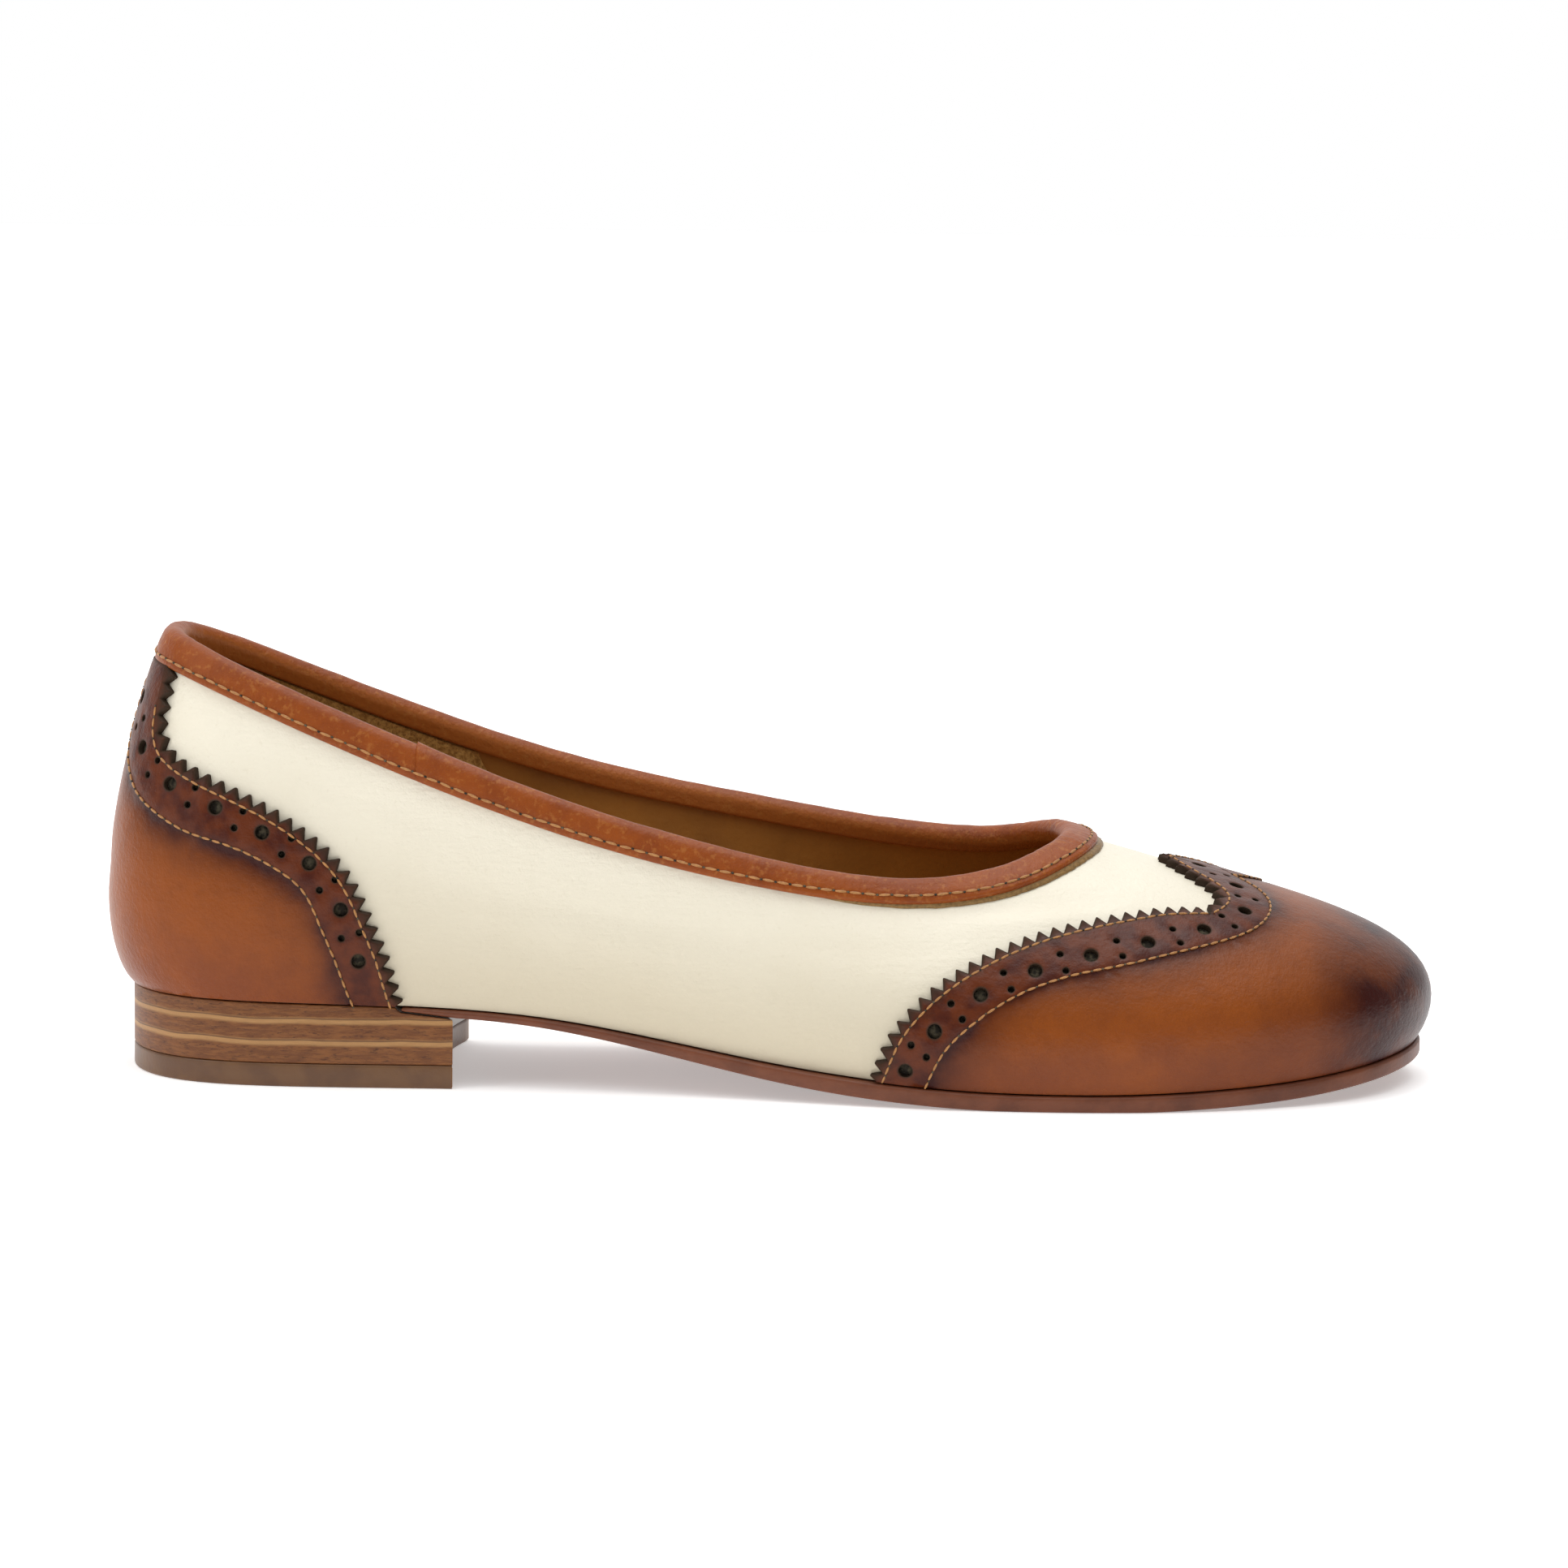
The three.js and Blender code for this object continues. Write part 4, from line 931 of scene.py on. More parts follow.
def outward(last, rib, up):
    """Direction off the last: the normal, turning level towards the feather edge."""
    normal = last.directions(rib, up)[2]
    level = last.foot_normal(rib) + 0 * normal
    share = np.clip(np.asarray(up) / 0.1, 0, 1)[..., None]
    return unit(blend(level, normal, share))


def off_last(last, rib, up, distance):
    """Point off the last that follows the soft creases."""
    lift = np.asarray(distance) + crease_lift(rib, up)
    return last.point(rib, up) + outward(last, rib, up) * lift[..., None]


class PatternLine:
    """A line drawn on the last, measured along the surface."""

    def __init__(self, last, rows, lowest=0.0):
        self.last = last
        spline = natural_spline(np.linspace(0, 1, len(rows)), rows)
        shares = np.linspace(0, 1, 1200)
        places = spline(shares)
        shown = places[:, 1] >= lowest
        self.places = places[shown]
        points = last.point(self.places[:, 0], self.places[:, 1])
        steps = np.linalg.norm(np.diff(points, axis=0), axis=1)
        self.distance = np.concatenate([[0], np.cumsum(steps)])
        self.length = self.distance[-1]
        self.stations = np.interp(np.linspace(0, 1, len(rows)), shares[shown], self.distance)

    def at(self, distances):
        rib = np.interp(distances, self.distance, self.places[:, 0])
        up = np.interp(distances, self.distance, self.places[:, 1])
        return np.stack([rib, up], axis=-1)

    def beside(self, distances, across):
        """Places at distances along the line, moved across it to its left."""
        distances = np.asarray(distances, dtype=float)
        places = self.at(distances)
        step = self.at(distances + 0.0005) - self.at(distances - 0.0005)
        around, upward, normal = self.last.directions(places[:, 0], places[:, 1])
        tangent = unit(around * step[:, :1] + upward * step[:, 1:])
        move = np.cross(normal, tangent) * np.asarray(across)[:, None]
        return places + surface_step(around, upward, move)

    def spaced(self, pitch, start=0.0):
        return np.arange(start, self.length, pitch)


def surface_step(around, upward, move):
    """Change of rib and up that makes a small move along the surface."""
    a = (around * around).sum(-1)
    b = (around * upward).sum(-1)
    c = (upward * upward).sum(-1)
    first = (around * move).sum(-1)
    second = (upward * move).sum(-1)
    scale = a * c - b * b
    return np.stack([(c * first - b * second) / scale, (a * second - b * first) / scale], axis=-1)


def mirrored(rows):
    return [(RIB_COUNT - rib, up) for rib, up in rows]


def pinked_edge(line, side, inset=0.0):
    """Places along a line cut with pinking shears. side, +1 or -1, is the leather's hand."""
    sizes = settings("flat_upper")
    count = max(1, round(line.length / sizes.tooth_pitch))
    pitch = line.length / count
    rounding = 0.08 * pitch
    distances = []
    across = []
    for tooth in range(count):
        start = tooth * pitch
        middle = start + pitch / 2
        distances += [start, start + rounding / 2, middle - rounding, middle, middle + rounding]
        distances += [start + pitch - rounding / 2]
        depth = sizes.tooth_depth
        across += [depth, 0.95 * depth, 0.09 * depth, 0.0, 0.09 * depth, 0.95 * depth]
    distances.append(line.length)
    across.append(sizes.tooth_depth)
    return line.beside(np.array(distances), side * (np.array(across) + inset))


def ring_of(last, place, radius, corners):
    """Places round a punched hole."""
    around, upward, normal = last.directions(place[0], place[1])
    first = unit(around)
    second = np.cross(normal, first)
    turns = np.arange(corners) * 2 * math.pi / corners
    moves = radius * (np.cos(turns)[:, None] * first + np.sin(turns)[:, None] * second)
    return place + surface_step(around + 0 * moves, upward + 0 * moves, moves)


def punched_places(last, rows):
    """Large holes at the places of the rows, and pairs of pinholes midway between them."""
    line = PatternLine(last, rows)
    spread = settings("flat_upper").pinhole_spread
    middles = (line.stations[1:] + line.stations[:-1]) / 2
    pinholes = np.concatenate([
        line.beside(middles, spread + 0 * middles), line.beside(middles, -spread + 0 * middles),
    ])
    return line.at(line.stations), pinholes


# Millimetre-like scale of the flat pattern: one rib is about 20 mm round and 50 mm tall
FLAT = np.array([0.02, 0.05])


class Overlay:
    """A leather laid over the upper: its pinked outline, holes and inner stitch row."""

    def __init__(self, last, edges, inner_rows, bottom, top, large, pinholes):
        self.last = last
        sizes = settings("flat_upper")
        self.outline = clean_loop(np.concatenate([*edges, top, bottom]))
        self.large = large
        self.pinholes = pinholes
        self.rows = [PatternLine(last, rows) for rows in inner_rows]
        self.holes = [ring_of(last, place, sizes.hole_radius, 20) for place in large]
        self.holes += [ring_of(last, place, sizes.pinhole_radius, 12) for place in pinholes]
        self.rings = [ring_of(last, place, sizes.hole_radius + 0.4 * MM, 20) for place in large]
        self.rings += [ring_of(last, place, sizes.pinhole_radius + 0.3 * MM, 12) for place in pinholes]

    def triangles(self, inset_lines, spacing):
        lines = [line for line in inset_lines]
        for row in self.rows:
            samples = row.spaced(1.1 * MM, 0.5 * MM)
            for across in (-0.3 * MM, 0.3 * MM):
                lines.append(np.maximum(row.beside(samples, across + 0 * samples), [-9, 0.002]))
        low = self.outline.min(axis=0) * FLAT
        high = self.outline.max(axis=0) * FLAT
        across, upward = np.meshgrid(
            np.arange(low[0], high[0], spacing), np.arange(low[1] + 0.5 * MM, high[1], spacing)
        )
        loose = np.stack([across.ravel(), upward.ravel()], axis=1)
        outline = self.outline * FLAT
        holes = [hole * FLAT for hole in self.holes]

        def keep(middles):
            kept = inside_loop(middles, outline)
            for hole in holes:
                near = np.linalg.norm(middles - hole.mean(axis=0), axis=1) < 0.004
                part = np.flatnonzero(near & kept)
                kept[part] = ~inside_loop(middles[part], hole)
            return kept

        loops = [outline, *holes, *(ring * FLAT for ring in self.rings)]
        flat, triangles = triangulate(loops, [line * FLAT for line in lines], loose, keep)
        flat, triangles = keep_used(flat, triangles)
        return flat / FLAT, triangles

    def edge_distance(self, places, cuts):
        """Distance of places from the cuts, on the surface."""
        samples = []
        for loop in cuts:
            after = np.roll(loop, -1, axis=0)
            samples += [blend(loop, after, share) for share in (0, 0.25, 0.5, 0.75)]
        samples = np.concatenate(samples)
        samples = samples[samples[:, 1] > 0.012]
        points = self.last.point(places[:, 0], places[:, 1])
        return distances_to(points, self.last.point(samples[:, 0], samples[:, 1]))

    def panel_distance(self, places, panel):
        """Distance from the inner stitch row: positive on the strip, negative on the panel."""
        samples = np.concatenate([row.places[::3] for row in self.rows])
        points = self.last.point(places[:, 0], places[:, 1])
        gaps = distances_to(points, self.last.point(samples[:, 0], samples[:, 1]))
        return np.where(inside_loop(places * FLAT, panel * FLAT), -gaps, gaps)


def clean_loop(loop):
    """A closed loop without points that lie on their neighbour."""
    gaps = np.linalg.norm((loop - np.roll(loop, 1, axis=0)) * FLAT, axis=1)
    return loop[gaps > 0.02 * MM]


def foot_run(start, stop):
    """Places along the feather edge from one rib to another."""
    count = max(2, int(abs(stop - start) * 14))
    ribs = np.linspace(start, stop, count)[1:-1]
    return np.stack([ribs, 0 * ribs], axis=1)


def overlay_object(name, overlay, inset_lines, panel, spacing, toe_burnish):
    """The overlay as a closed shell with marks for its cut edges, strip and burnish."""
    sizes = settings("flat_upper")
    last = overlay.last
    places, triangles = overlay.triangles(inset_lines, spacing)
    edge = overlay.edge_distance(places, [overlay.outline])
    hole = overlay.edge_distance(places, overlay.holes)
    inward = overlay.panel_distance(places, panel)
    strip = smooth_share((-0.3 * MM, 0.3 * MM), inward)
    rounding = np.clip(1 - edge / sizes.cut_edge, 0, 1) ** 2
    rounding = np.maximum(rounding, 0.35 * np.clip(1 - hole / (0.4 * MM), 0, 1))
    height = sizes.fit_gap + sizes.overlay + sizes.strip_rise * (strip - 0.5)
    stitch_groove = 0.12 * MM * bump_shape(inward, 1.4 * MM)
    height = height - 0.45 * MM * rounding - stitch_groove
    top = off_last(last, places[:, 0], places[:, 1], height)
    below = off_last(last, places[:, 0], places[:, 1], 0.06 * MM + 0 * height)
    near_row = np.exp(-np.abs(inward) / (3.2 * MM)) * 0.75 + np.exp(-np.abs(inward) / (12 * MM)) * 0.4
    burnish = (1 - strip) * np.clip(near_row, 0, 1)
    burnish = np.maximum(burnish, toe_burnish(top) * (1 - 0.4 * strip))
    cut = 1 - smooth_share((0.25 * MM, 0.95 * MM), edge)
    cut = np.maximum(cut, 1 - smooth_share((0.0, 0.32 * MM), hole))
    # The 'low' mark, 1 at the feather edge and 0 from 0.6 of the way up: painted shade on the lower
    # panels
    low = 1 - smooth_share((0.0, 0.6), places[:, 1])
    marks = {
        "cut": np.concatenate([cut, np.ones(len(cut))]),
        "strip": np.tile(strip, 2), "burnish": np.tile(burnish, 2), "low": np.tile(low, 2),
    }
    return smooth_object(
        name, np.concatenate([top, below]), shell_faces(triangles, len(top)),
        [finish_of("burnished_tan_calf_leather")], marks=marks,
    )


def make_cap(last):
    """The wing-tip toe cap's pattern, its rings inside the pinked edge and its plain panel."""
    halves = []
    insets = []
    for rows_side, rows_peak, side in (
        (WING_SIDE, WING_PEAK, -1), (mirrored(WING_SIDE), mirrored(WING_PEAK), 1),
    ):
        lines = [PatternLine(last, rows_side), PatternLine(last, rows_peak)]
        half = np.concatenate([pinked_edge(line, side) for line in lines])
        half = np.maximum(half, [-99, 0.0])
        half[0, 1] = 0.0
        half[-1, 0] = TOE
        halves.append(half)
        insets += [
            np.maximum(pinked_edge(line, side, 0.74 * MM)[1:-1], [-99, 0.004]) for line in lines
        ]
    outer, inner = halves
    bottom = foot_run(inner[0, 0], outer[0, 0])
    outline = [outer, inner[::-1]]
    large_outer, pin_outer = punched_places(last, WING_PUNCHES)
    large_inner, pin_inner = punched_places(last, mirrored(WING_PUNCHES))
    rows = [WING_INNER_ROW, mirrored(WING_INNER_ROW)]
    large = np.concatenate([large_outer, large_inner[:-1]])
    pinholes = np.concatenate([pin_outer, pin_inner])
    overlay = Overlay(last, outline, rows, bottom, np.zeros((0, 2)), large, pinholes)
    first, second = overlay.rows
    panel = np.concatenate([first.places[::4], second.places[::-4], [[18.6, -0.05], [7.4, -0.05]]])
    return overlay, insets, panel


def make_counter(last):
    """The heel counter's pattern, its rings inside the pinked edges and its plain panel."""
    hidden = 0.6 * MM
    halves = []
    insets = []
    for mirror, side in ((1, 1), (-1, -1)):
        top_rib = COUNTER_SIDE[-1][0]
        top_rib *= mirror
        top_up = float(last.up_below_rim(top_rib, binding_outside(top_rib) - hidden)[0])
        rows = [(mirror * rib, up) for rib, up in COUNTER_SIDE] + [(top_rib, top_up)]
        line = PatternLine(last, rows)
        half = np.maximum(pinked_edge(line, side), [-99, 0.0])
        half[0, 1] = 0.0
        halves.append(half)
        insets.append(np.maximum(pinked_edge(line, side, 0.74 * MM)[1:-1], [-99, 0.004]))
    outer, inner = halves
    top_ribs = np.linspace(outer[-1, 0], inner[-1, 0], 40)[1:-1]
    top_ups = last.up_below_rim(top_ribs, binding_outside(top_ribs) - hidden)
    top = np.stack([top_ribs, top_ups], axis=1)
    bottom = foot_run(inner[0, 0], outer[0, 0])
    outline = [outer, top, inner[::-1]]
    holes = [
        punched_places(last, [(mirror * rib, up) for rib, up in COUNTER_PUNCHES])
        for mirror in (1, -1)
    ]
    large = np.concatenate([found[0] for found in holes])
    pinholes = np.concatenate([found[1] for found in holes])
    rows = [[(mirror * rib, up) for rib, up in COUNTER_INNER_ROW] for mirror in (1, -1)]
    overlay = Overlay(last, outline, rows, bottom, np.zeros((0, 2)), large, pinholes)
    first, second = overlay.rows
    panel = np.concatenate([first.places[::4], [[3.2, -0.05], [-3.2, -0.05]], second.places[::-4]])
    return overlay, insets, panel


class PieceOperator(bpy.types.Operator):
    """Common ground of the operators that make the shoe's pieces"""

    bl_options = {"REGISTER", "UNDO"}

    def execute(self, context):
        self.build(Last())
        return {"FINISHED"}

    def build(self, last):
        raise NotImplementedError(self.bl_idname)


class FLAT_OT_upper(PieceOperator):
    """Cream leather upper with its lining, as one closed wall with soft creases"""

    bl_idname = "flat.upper"
    bl_label = "Upper"

    columns_per_rib = 16
    rows = 40

    def build(self, last):
        wall = settings("flat_upper").wall
        ribs = np.arange(RIB_COUNT * self.columns_per_rib) / self.columns_per_rib
        ups = np.linspace(0, 1, self.rows)
        rib, up = np.meshgrid(ribs, ups, indexing="ij")
        outside = off_last(last, rib, up, 0 * up)
        inside = last.point(rib, up) - outward(last, rib, up) * wall
        sections = np.concatenate([outside, inside[:, ::-1]], axis=1)
        size = 2 * self.rows
        faces = tube_faces(len(ribs), size, closed_along=True)
        looks = np.tile((np.arange(size) >= self.rows - 1).astype(int), len(ribs))
        # The 'low' mark, strongest at the feather edge and gone near the topline, paints shade low on
        # the cream
        piece = smooth_object(
            "upper_leather", sections.reshape(-1, 3), faces,
            [finish_of("cream_calf_leather"), finish_of("ochre_lining_leather")], looks,
            {"low": 0.85 * (1 - smooth_share((0.06, 0.98), np.concatenate([up, up[:, ::-1]], axis=1)))
             .ravel()},
        )
        finish_piece(piece, "cream_leather", "upper")


class FLAT_OT_toe_cap(PieceOperator):
    """Wing-tip toe cap with pinked edge and punched strip"""

    bl_idname = "flat.toe_cap"
    bl_label = "Toe cap"

    spacing = 1.7 * MM

    def build(self, last):
        overlay, insets, panel = make_cap(last)
        toe_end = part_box("toe_cap")[1][0]

        def toe_burnish(points):
            wide = smooth_share((toe_end - 85 * MM, toe_end - 15 * MM), points[:, 0])
            tip = smooth_share((toe_end - 36 * MM, toe_end - 8 * MM), points[:, 0])
            return np.maximum(0.3 * wide, tip)

        piece = overlay_object(
            "toe_cap_leather", overlay, insets, panel, self.spacing, toe_burnish
        )
        finish_piece(piece, "tan_leather", "toe_cap")


class FLAT_OT_heel_counter(PieceOperator):
    """Heel counter with pinked edges and punched strips"""

    bl_idname = "flat.heel_counter"
    bl_label = "Heel counter"

    spacing = 1.7 * MM

    def build(self, last):
        overlay, insets, panel = make_counter(last)
        piece = overlay_object(
            "heel_counter_leather", overlay, insets, panel, self.spacing,
            lambda points: np.zeros(len(points)),
        )
        finish_piece(piece, "tan_leather", "heel_counter")


# Where the ends of the binding lap
SEAM_RIB = 3.62


def lap_height(ribs):
    """Extra thickness where the binding's one end lies over the other."""
    beyond = np.maximum(0, ribs - SEAM_RIB)
    lap = np.where(ribs > SEAM_RIB, np.exp(-beyond / 0.3), 0)
    return settings("flat_binding").seam_step * lap


class FLAT_OT_binding(PieceOperator):
    """Topline binding rolled over the rim, with its lapped seam, wrinkles and raw edge"""

    bl_idname = "flat.binding"
    bl_label = "Topline binding"

    columns_per_rib = 26
    raw_from = 6.9
    raw_to = 19.1

    def build(self, last):
        ribs = np.arange(RIB_COUNT * self.columns_per_rib) / self.columns_per_rib
        seam = np.array([SEAM_RIB - 0.004, SEAM_RIB + 0.004])
        ribs = np.sort(np.concatenate([ribs[np.abs(ribs - SEAM_RIB) > 0.02], seam]))
        sections = np.array(self.sections(last, ribs))
        size = sections.shape[1]
        faces = tube_faces(len(ribs), size, closed_along=True)
        inside = np.tile(self.inside_share, len(ribs))
        points = sections.reshape(-1, 3)
        raw_points, raw_faces = self.raw_edge(last, len(points))
        marks = {
            "inside": np.concatenate([inside, np.zeros(len(raw_points))]),
            "cut": np.concatenate([np.zeros(len(points)), np.ones(len(raw_points))]),
        }
        piece = smooth_object(
            "binding_leather", np.concatenate([points, raw_points]), faces + raw_faces,
            [finish_of("tan_kid_leather_binding")], marks=marks,
        )
        finish_piece(piece, "binding_leather", "topline_binding")

    def wrinkles(self, ribs):
        """Shallow folds across the binding, from a few sine waves round the topline."""
        turns = np.random.default_rng(11).uniform(0, 2 * math.pi, 6)
        waves = [(9, 0.3), (17, 0.25), (31, 0.2), (53, 0.16), (71, 0.14), (97, 0.1)]
        height = 0 * ribs
        for (count, share), turn in zip(waves, turns):
            height += share * np.sin(2 * math.pi * count * ribs / RIB_COUNT + turn)
        return height * settings("flat_binding").wrinkle

    def sections(self, last, ribs):
        sizes = settings("flat_binding")
        upper = settings("flat_upper")
        outer = upper.fit_gap + sizes.leather
        low_up = last.up_below_rim(ribs, binding_outside(ribs))
        inner_up = last.up_below_rim(ribs, sizes.inside)
        extra = lap_height(ribs) + self.wrinkles(ribs)
        rim = last.point(ribs, 1 + 0 * ribs)
        around, upward, normal = last.directions(ribs, 1 + 0 * ribs)
        rise = unit(upward)
        middle = upper.wall / 2
        columns = []
        shares = []

        def add(points, share):
            columns.append(points)
            shares.append(share)

        lower_edge = [(0.0, 0.55), (0.02, 0.85), (0.07, 1.0), (0.16, 1.06)]
        body = [(0.3, 1.12), (0.45, 1.16), (0.6, 1.17), (0.75, 1.14), (0.88, 1.08)]
        for share, thickness in lower_edge + body:
            up = blend(low_up, 1, share)
            add(off_last(last, ribs, up, outer * thickness + extra), 0.0)
        radius = middle + outer + 0.05 * MM + extra
        for angle in np.radians(np.arange(0, 181, 18)):
            sideways = normal * (radius * math.cos(angle) - middle)[:, None]
            add(rim + sideways + rise * (radius * math.sin(angle))[:, None],
                float(smooth_share((math.radians(110), math.radians(170)), angle)))
        inner = -upper.wall - outer
        for share, depth in [(0.75, 1.0), (0.5, 1.0), (0.25, 0.98), (0.08, 0.9), (0.0, 0.7)]:
            up = blend(inner_up, 1, share)
            inward = -upper.wall - (upper.fit_gap + sizes.leather * depth)
            add(last.offset(ribs, up, inward + 0 * ribs - 0.5 * extra), 1.0)
        add(last.offset(ribs, inner_up, inner + sizes.leather + 0 * ribs), 1.0)
        add(last.offset(ribs, 1 + 0 * ribs, inner + sizes.leather + 0 * ribs), 1.0)
        add(rim - normal * middle + rise * (middle + upper.fit_gap), 1.0)
        add(off_last(last, ribs, 1 + 0 * ribs, upper.fit_gap + 0 * ribs), 0.0)
        add(off_last(last, ribs, low_up, upper.fit_gap + 0 * ribs), 0.0)
        self.inside_share = shares
        return np.stack(columns, axis=1)

    def raw_edge(self, last, first):
        """Raw edge of the binding's turned leather, seen below it round the front."""
        sizes = settings("flat_binding")
        ribs = np.linspace(self.raw_from, self.raw_to, 140)
        share = np.sin(np.pi * np.linspace(0, 1, len(ribs))) ** 0.5
        ragged = np.random.default_rng(5).normal(0, 0.05 * MM, len(ribs))
        outside = binding_outside(ribs)
        top_up = last.up_below_rim(ribs, outside - 1.2 * MM)
        low_up = last.up_below_rim(ribs, outside + share * sizes.raw_edge + ragged)
        thick = 0.55 * MM
        rows = [
            off_last(last, ribs, top_up, thick + 0 * ribs),
            off_last(last, ribs, blend(low_up, top_up, 0.12), thick + 0 * ribs),
            off_last(last, ribs, low_up, 0.5 * thick + 0 * ribs),
            off_last(last, ribs, low_up, 0.05 * MM + 0 * ribs),
            off_last(last, ribs, top_up, 0.05 * MM + 0 * ribs),
        ]
        size = len(rows)
        points = np.stack(rows[::-1], axis=1).reshape(-1, 3)
        faces = tube_faces(len(ribs), size)
        end = (len(ribs) - 1) * size
        faces += [tuple(range(size)), tuple(reversed(range(end, end + size)))]
        return points, [tuple(first + corner for corner in face) for face in faces]


class FLAT_OT_heel_grip(PieceOperator):
    """Suede grip inside the back of the shoe"""

    bl_idname = "flat.heel_grip"
    bl_label = "Heel grip"

    front_rib = 3.75
    columns = 150
    rows = 26
    thickness = 0.75 * MM

    def build(self, last):
        wall = settings("flat_upper").wall
        binding = settings("flat_binding")
        ragged = np.random.default_rng(3).normal(0, 0.03, (2, self.rows))
        shares = np.linspace(-1, 1, self.columns)
        rows = []
        for row in range(self.rows):
            front = self.front_rib + ragged[0, row] + 0.3 * math.sin(2.2 * row / self.rows)
            back = self.front_rib + ragged[1, row] + 0.3 * math.sin(2.2 * row / self.rows)
            ribs = np.where(shares < 0, shares * back, shares * front)
            top = last.up_below_rim(ribs, binding.inside + 0.5 * MM)
            rows.append(np.stack([ribs, blend(0.1, top, row / (self.rows - 1))], axis=1))
        places = np.stack(rows, axis=1).reshape(-1, 2)
        end = np.abs(np.repeat(shares, self.rows))
        thick = self.thickness * (1 - smooth_share((0.97, 1.0), end) * 0.8)
        rib, up = places[:, 0], places[:, 1]
        skin = last.point(rib, up) - outward(last, rib, up) * (wall + 0.05 * MM + thick)[:, None]
        back = last.point(rib, up) - outward(last, rib, up) * (wall + 0.02 * MM)
        quads = tube_faces(self.columns, self.rows, closed_round=False)
        triangles = np.array([(a, c, b) for a, b, c, d in quads] + [(a, d, c) for a, b, c, d in quads])
        piece = smooth_object(
            "heel_grip_suede", np.concatenate([skin, back]), shell_faces(triangles, len(skin)),
            [finish_of("golden_brown_suede")],
        )
        finish_piece(piece, "sock_leather")


def foot_path(last, ledge_at, start, stop, per_rib=16):
    """Places round the foot's outline from one rib to another, moved out by a ledge."""
    ribs = np.linspace(start, stop, int((stop - start) * per_rib) + 1)
    along = last.row(ribs)[:, 0] / last.sizes.length
    return last.beside_foot(ribs, ledge_at(along) + 0 * ribs)[:, :2]


def inset_loop(loop, distance):
    """A flat loop, walked anticlockwise, moved inwards."""
    before = unit(loop - np.roll(loop, 1, axis=0))
    after = unit(np.roll(loop, -1, axis=0) - loop)
    normals = [np.stack([-side[:, 1], side[:, 0]], axis=1) for side in (before, after)]
    bisector = unit(normals[0] + normals[1])
    widening = np.maximum((bisector * normals[0]).sum(axis=1, keepdims=True), 0.4)
    return loop + bisector * distance / widening


def anticlockwise(loop):
    after = np.roll(loop, -1, axis=0)
    area = (loop[:, 0] * after[:, 1] - after[:, 0] * loop[:, 1]).sum()
    return loop if area > 0 else loop[::-1]


def spread_loop(loop, spacing):
    """A flat loop with its points no further apart than the spacing."""
    made = []
    for here, after in zip(loop, np.roll(loop, -1, axis=0)):
        steps = max(1, math.ceil(np.linalg.norm(after - here) / spacing))
        if np.linalg.norm(after - here) > 0.02 * MM:
            made += [blend(here, after, i / steps) for i in range(steps)]
    return np.array(made)


def slab_object(name, loop, top_at, bottom_at, rounding, spacing, materials, bulge=0.0):
    """A closed slab over a flat outline, with rounded edges above and below."""
    loop = spread_loop(anticlockwise(np.asarray(loop)), spacing)
    count = len(loop)
    turns = np.radians([0, 30, 60, 90])
    insets = rounding * (1 - np.sin(turns))
    loops = [inset_loop(loop, inset) for inset in insets]
    room = np.minimum(rounding, 0.48 * (top_at(loop) - bottom_at(loop)))
    rings = []
    for outline, turn in zip(loops, turns):
        heights = bottom_at(outline) + room * (1 - math.cos(turn))
        rings.append(np.column_stack([outline, heights]))
    side = loop if bulge == 0.0 else inset_loop(loop, -bulge)
    rings.append(np.column_stack([side, 0.5 * (bottom_at(loop) + top_at(loop))]))
    for outline, turn in zip(reversed(loops), reversed(turns)):
        heights = top_at(outline) - room * (1 - math.cos(turn))
        rings.append(np.column_stack([outline, heights]))
    flat_loop = loops[0]
    low, high = flat_loop.min(axis=0), flat_loop.max(axis=0)
    step = max(spacing, 3 * MM)
    x, y = np.meshgrid(np.arange(low[0], high[0], step), np.arange(low[1], high[1], step))
    loose = np.stack([x.ravel(), y.ravel()], axis=1)
    flat, triangles = triangulate(
        [flat_loop], [], loose, lambda middles: inside_loop(middles, flat_loop)
    )
    nearest = [int(np.argmin(np.linalg.norm(flat - point, axis=1))) for point in flat_loop]
    base = len(rings) * count
    number = np.arange(len(flat)) + base
    under = number.copy()
    number[nearest] = (len(rings) - 1) * count + np.arange(count)
    under = under + len(flat)
    under[nearest] = np.arange(count)
    top = np.column_stack([flat, top_at(flat)])
    bottom = np.column_stack([flat, bottom_at(flat)])
    points = np.concatenate([*rings, top, bottom])
    faces = []
    for ring in range(len(rings) - 1):
        for i in range(count):
            j = (i + 1) % count
            a, b = ring * count + i, ring * count + j
            faces.append((a, b, b + count, a + count))
    faces += [tuple(number[face]) for face in triangles]
    faces += [tuple(under[face][::-1]) for face in triangles]
    used = sorted({corner for face in faces for corner in face})
    renumber = {old: new for new, old in enumerate(used)}
    faces = [tuple(renumber[corner] for corner in face) for face in faces]
    return smooth_object(name, points[used], faces, materials, sharp_angle=50)


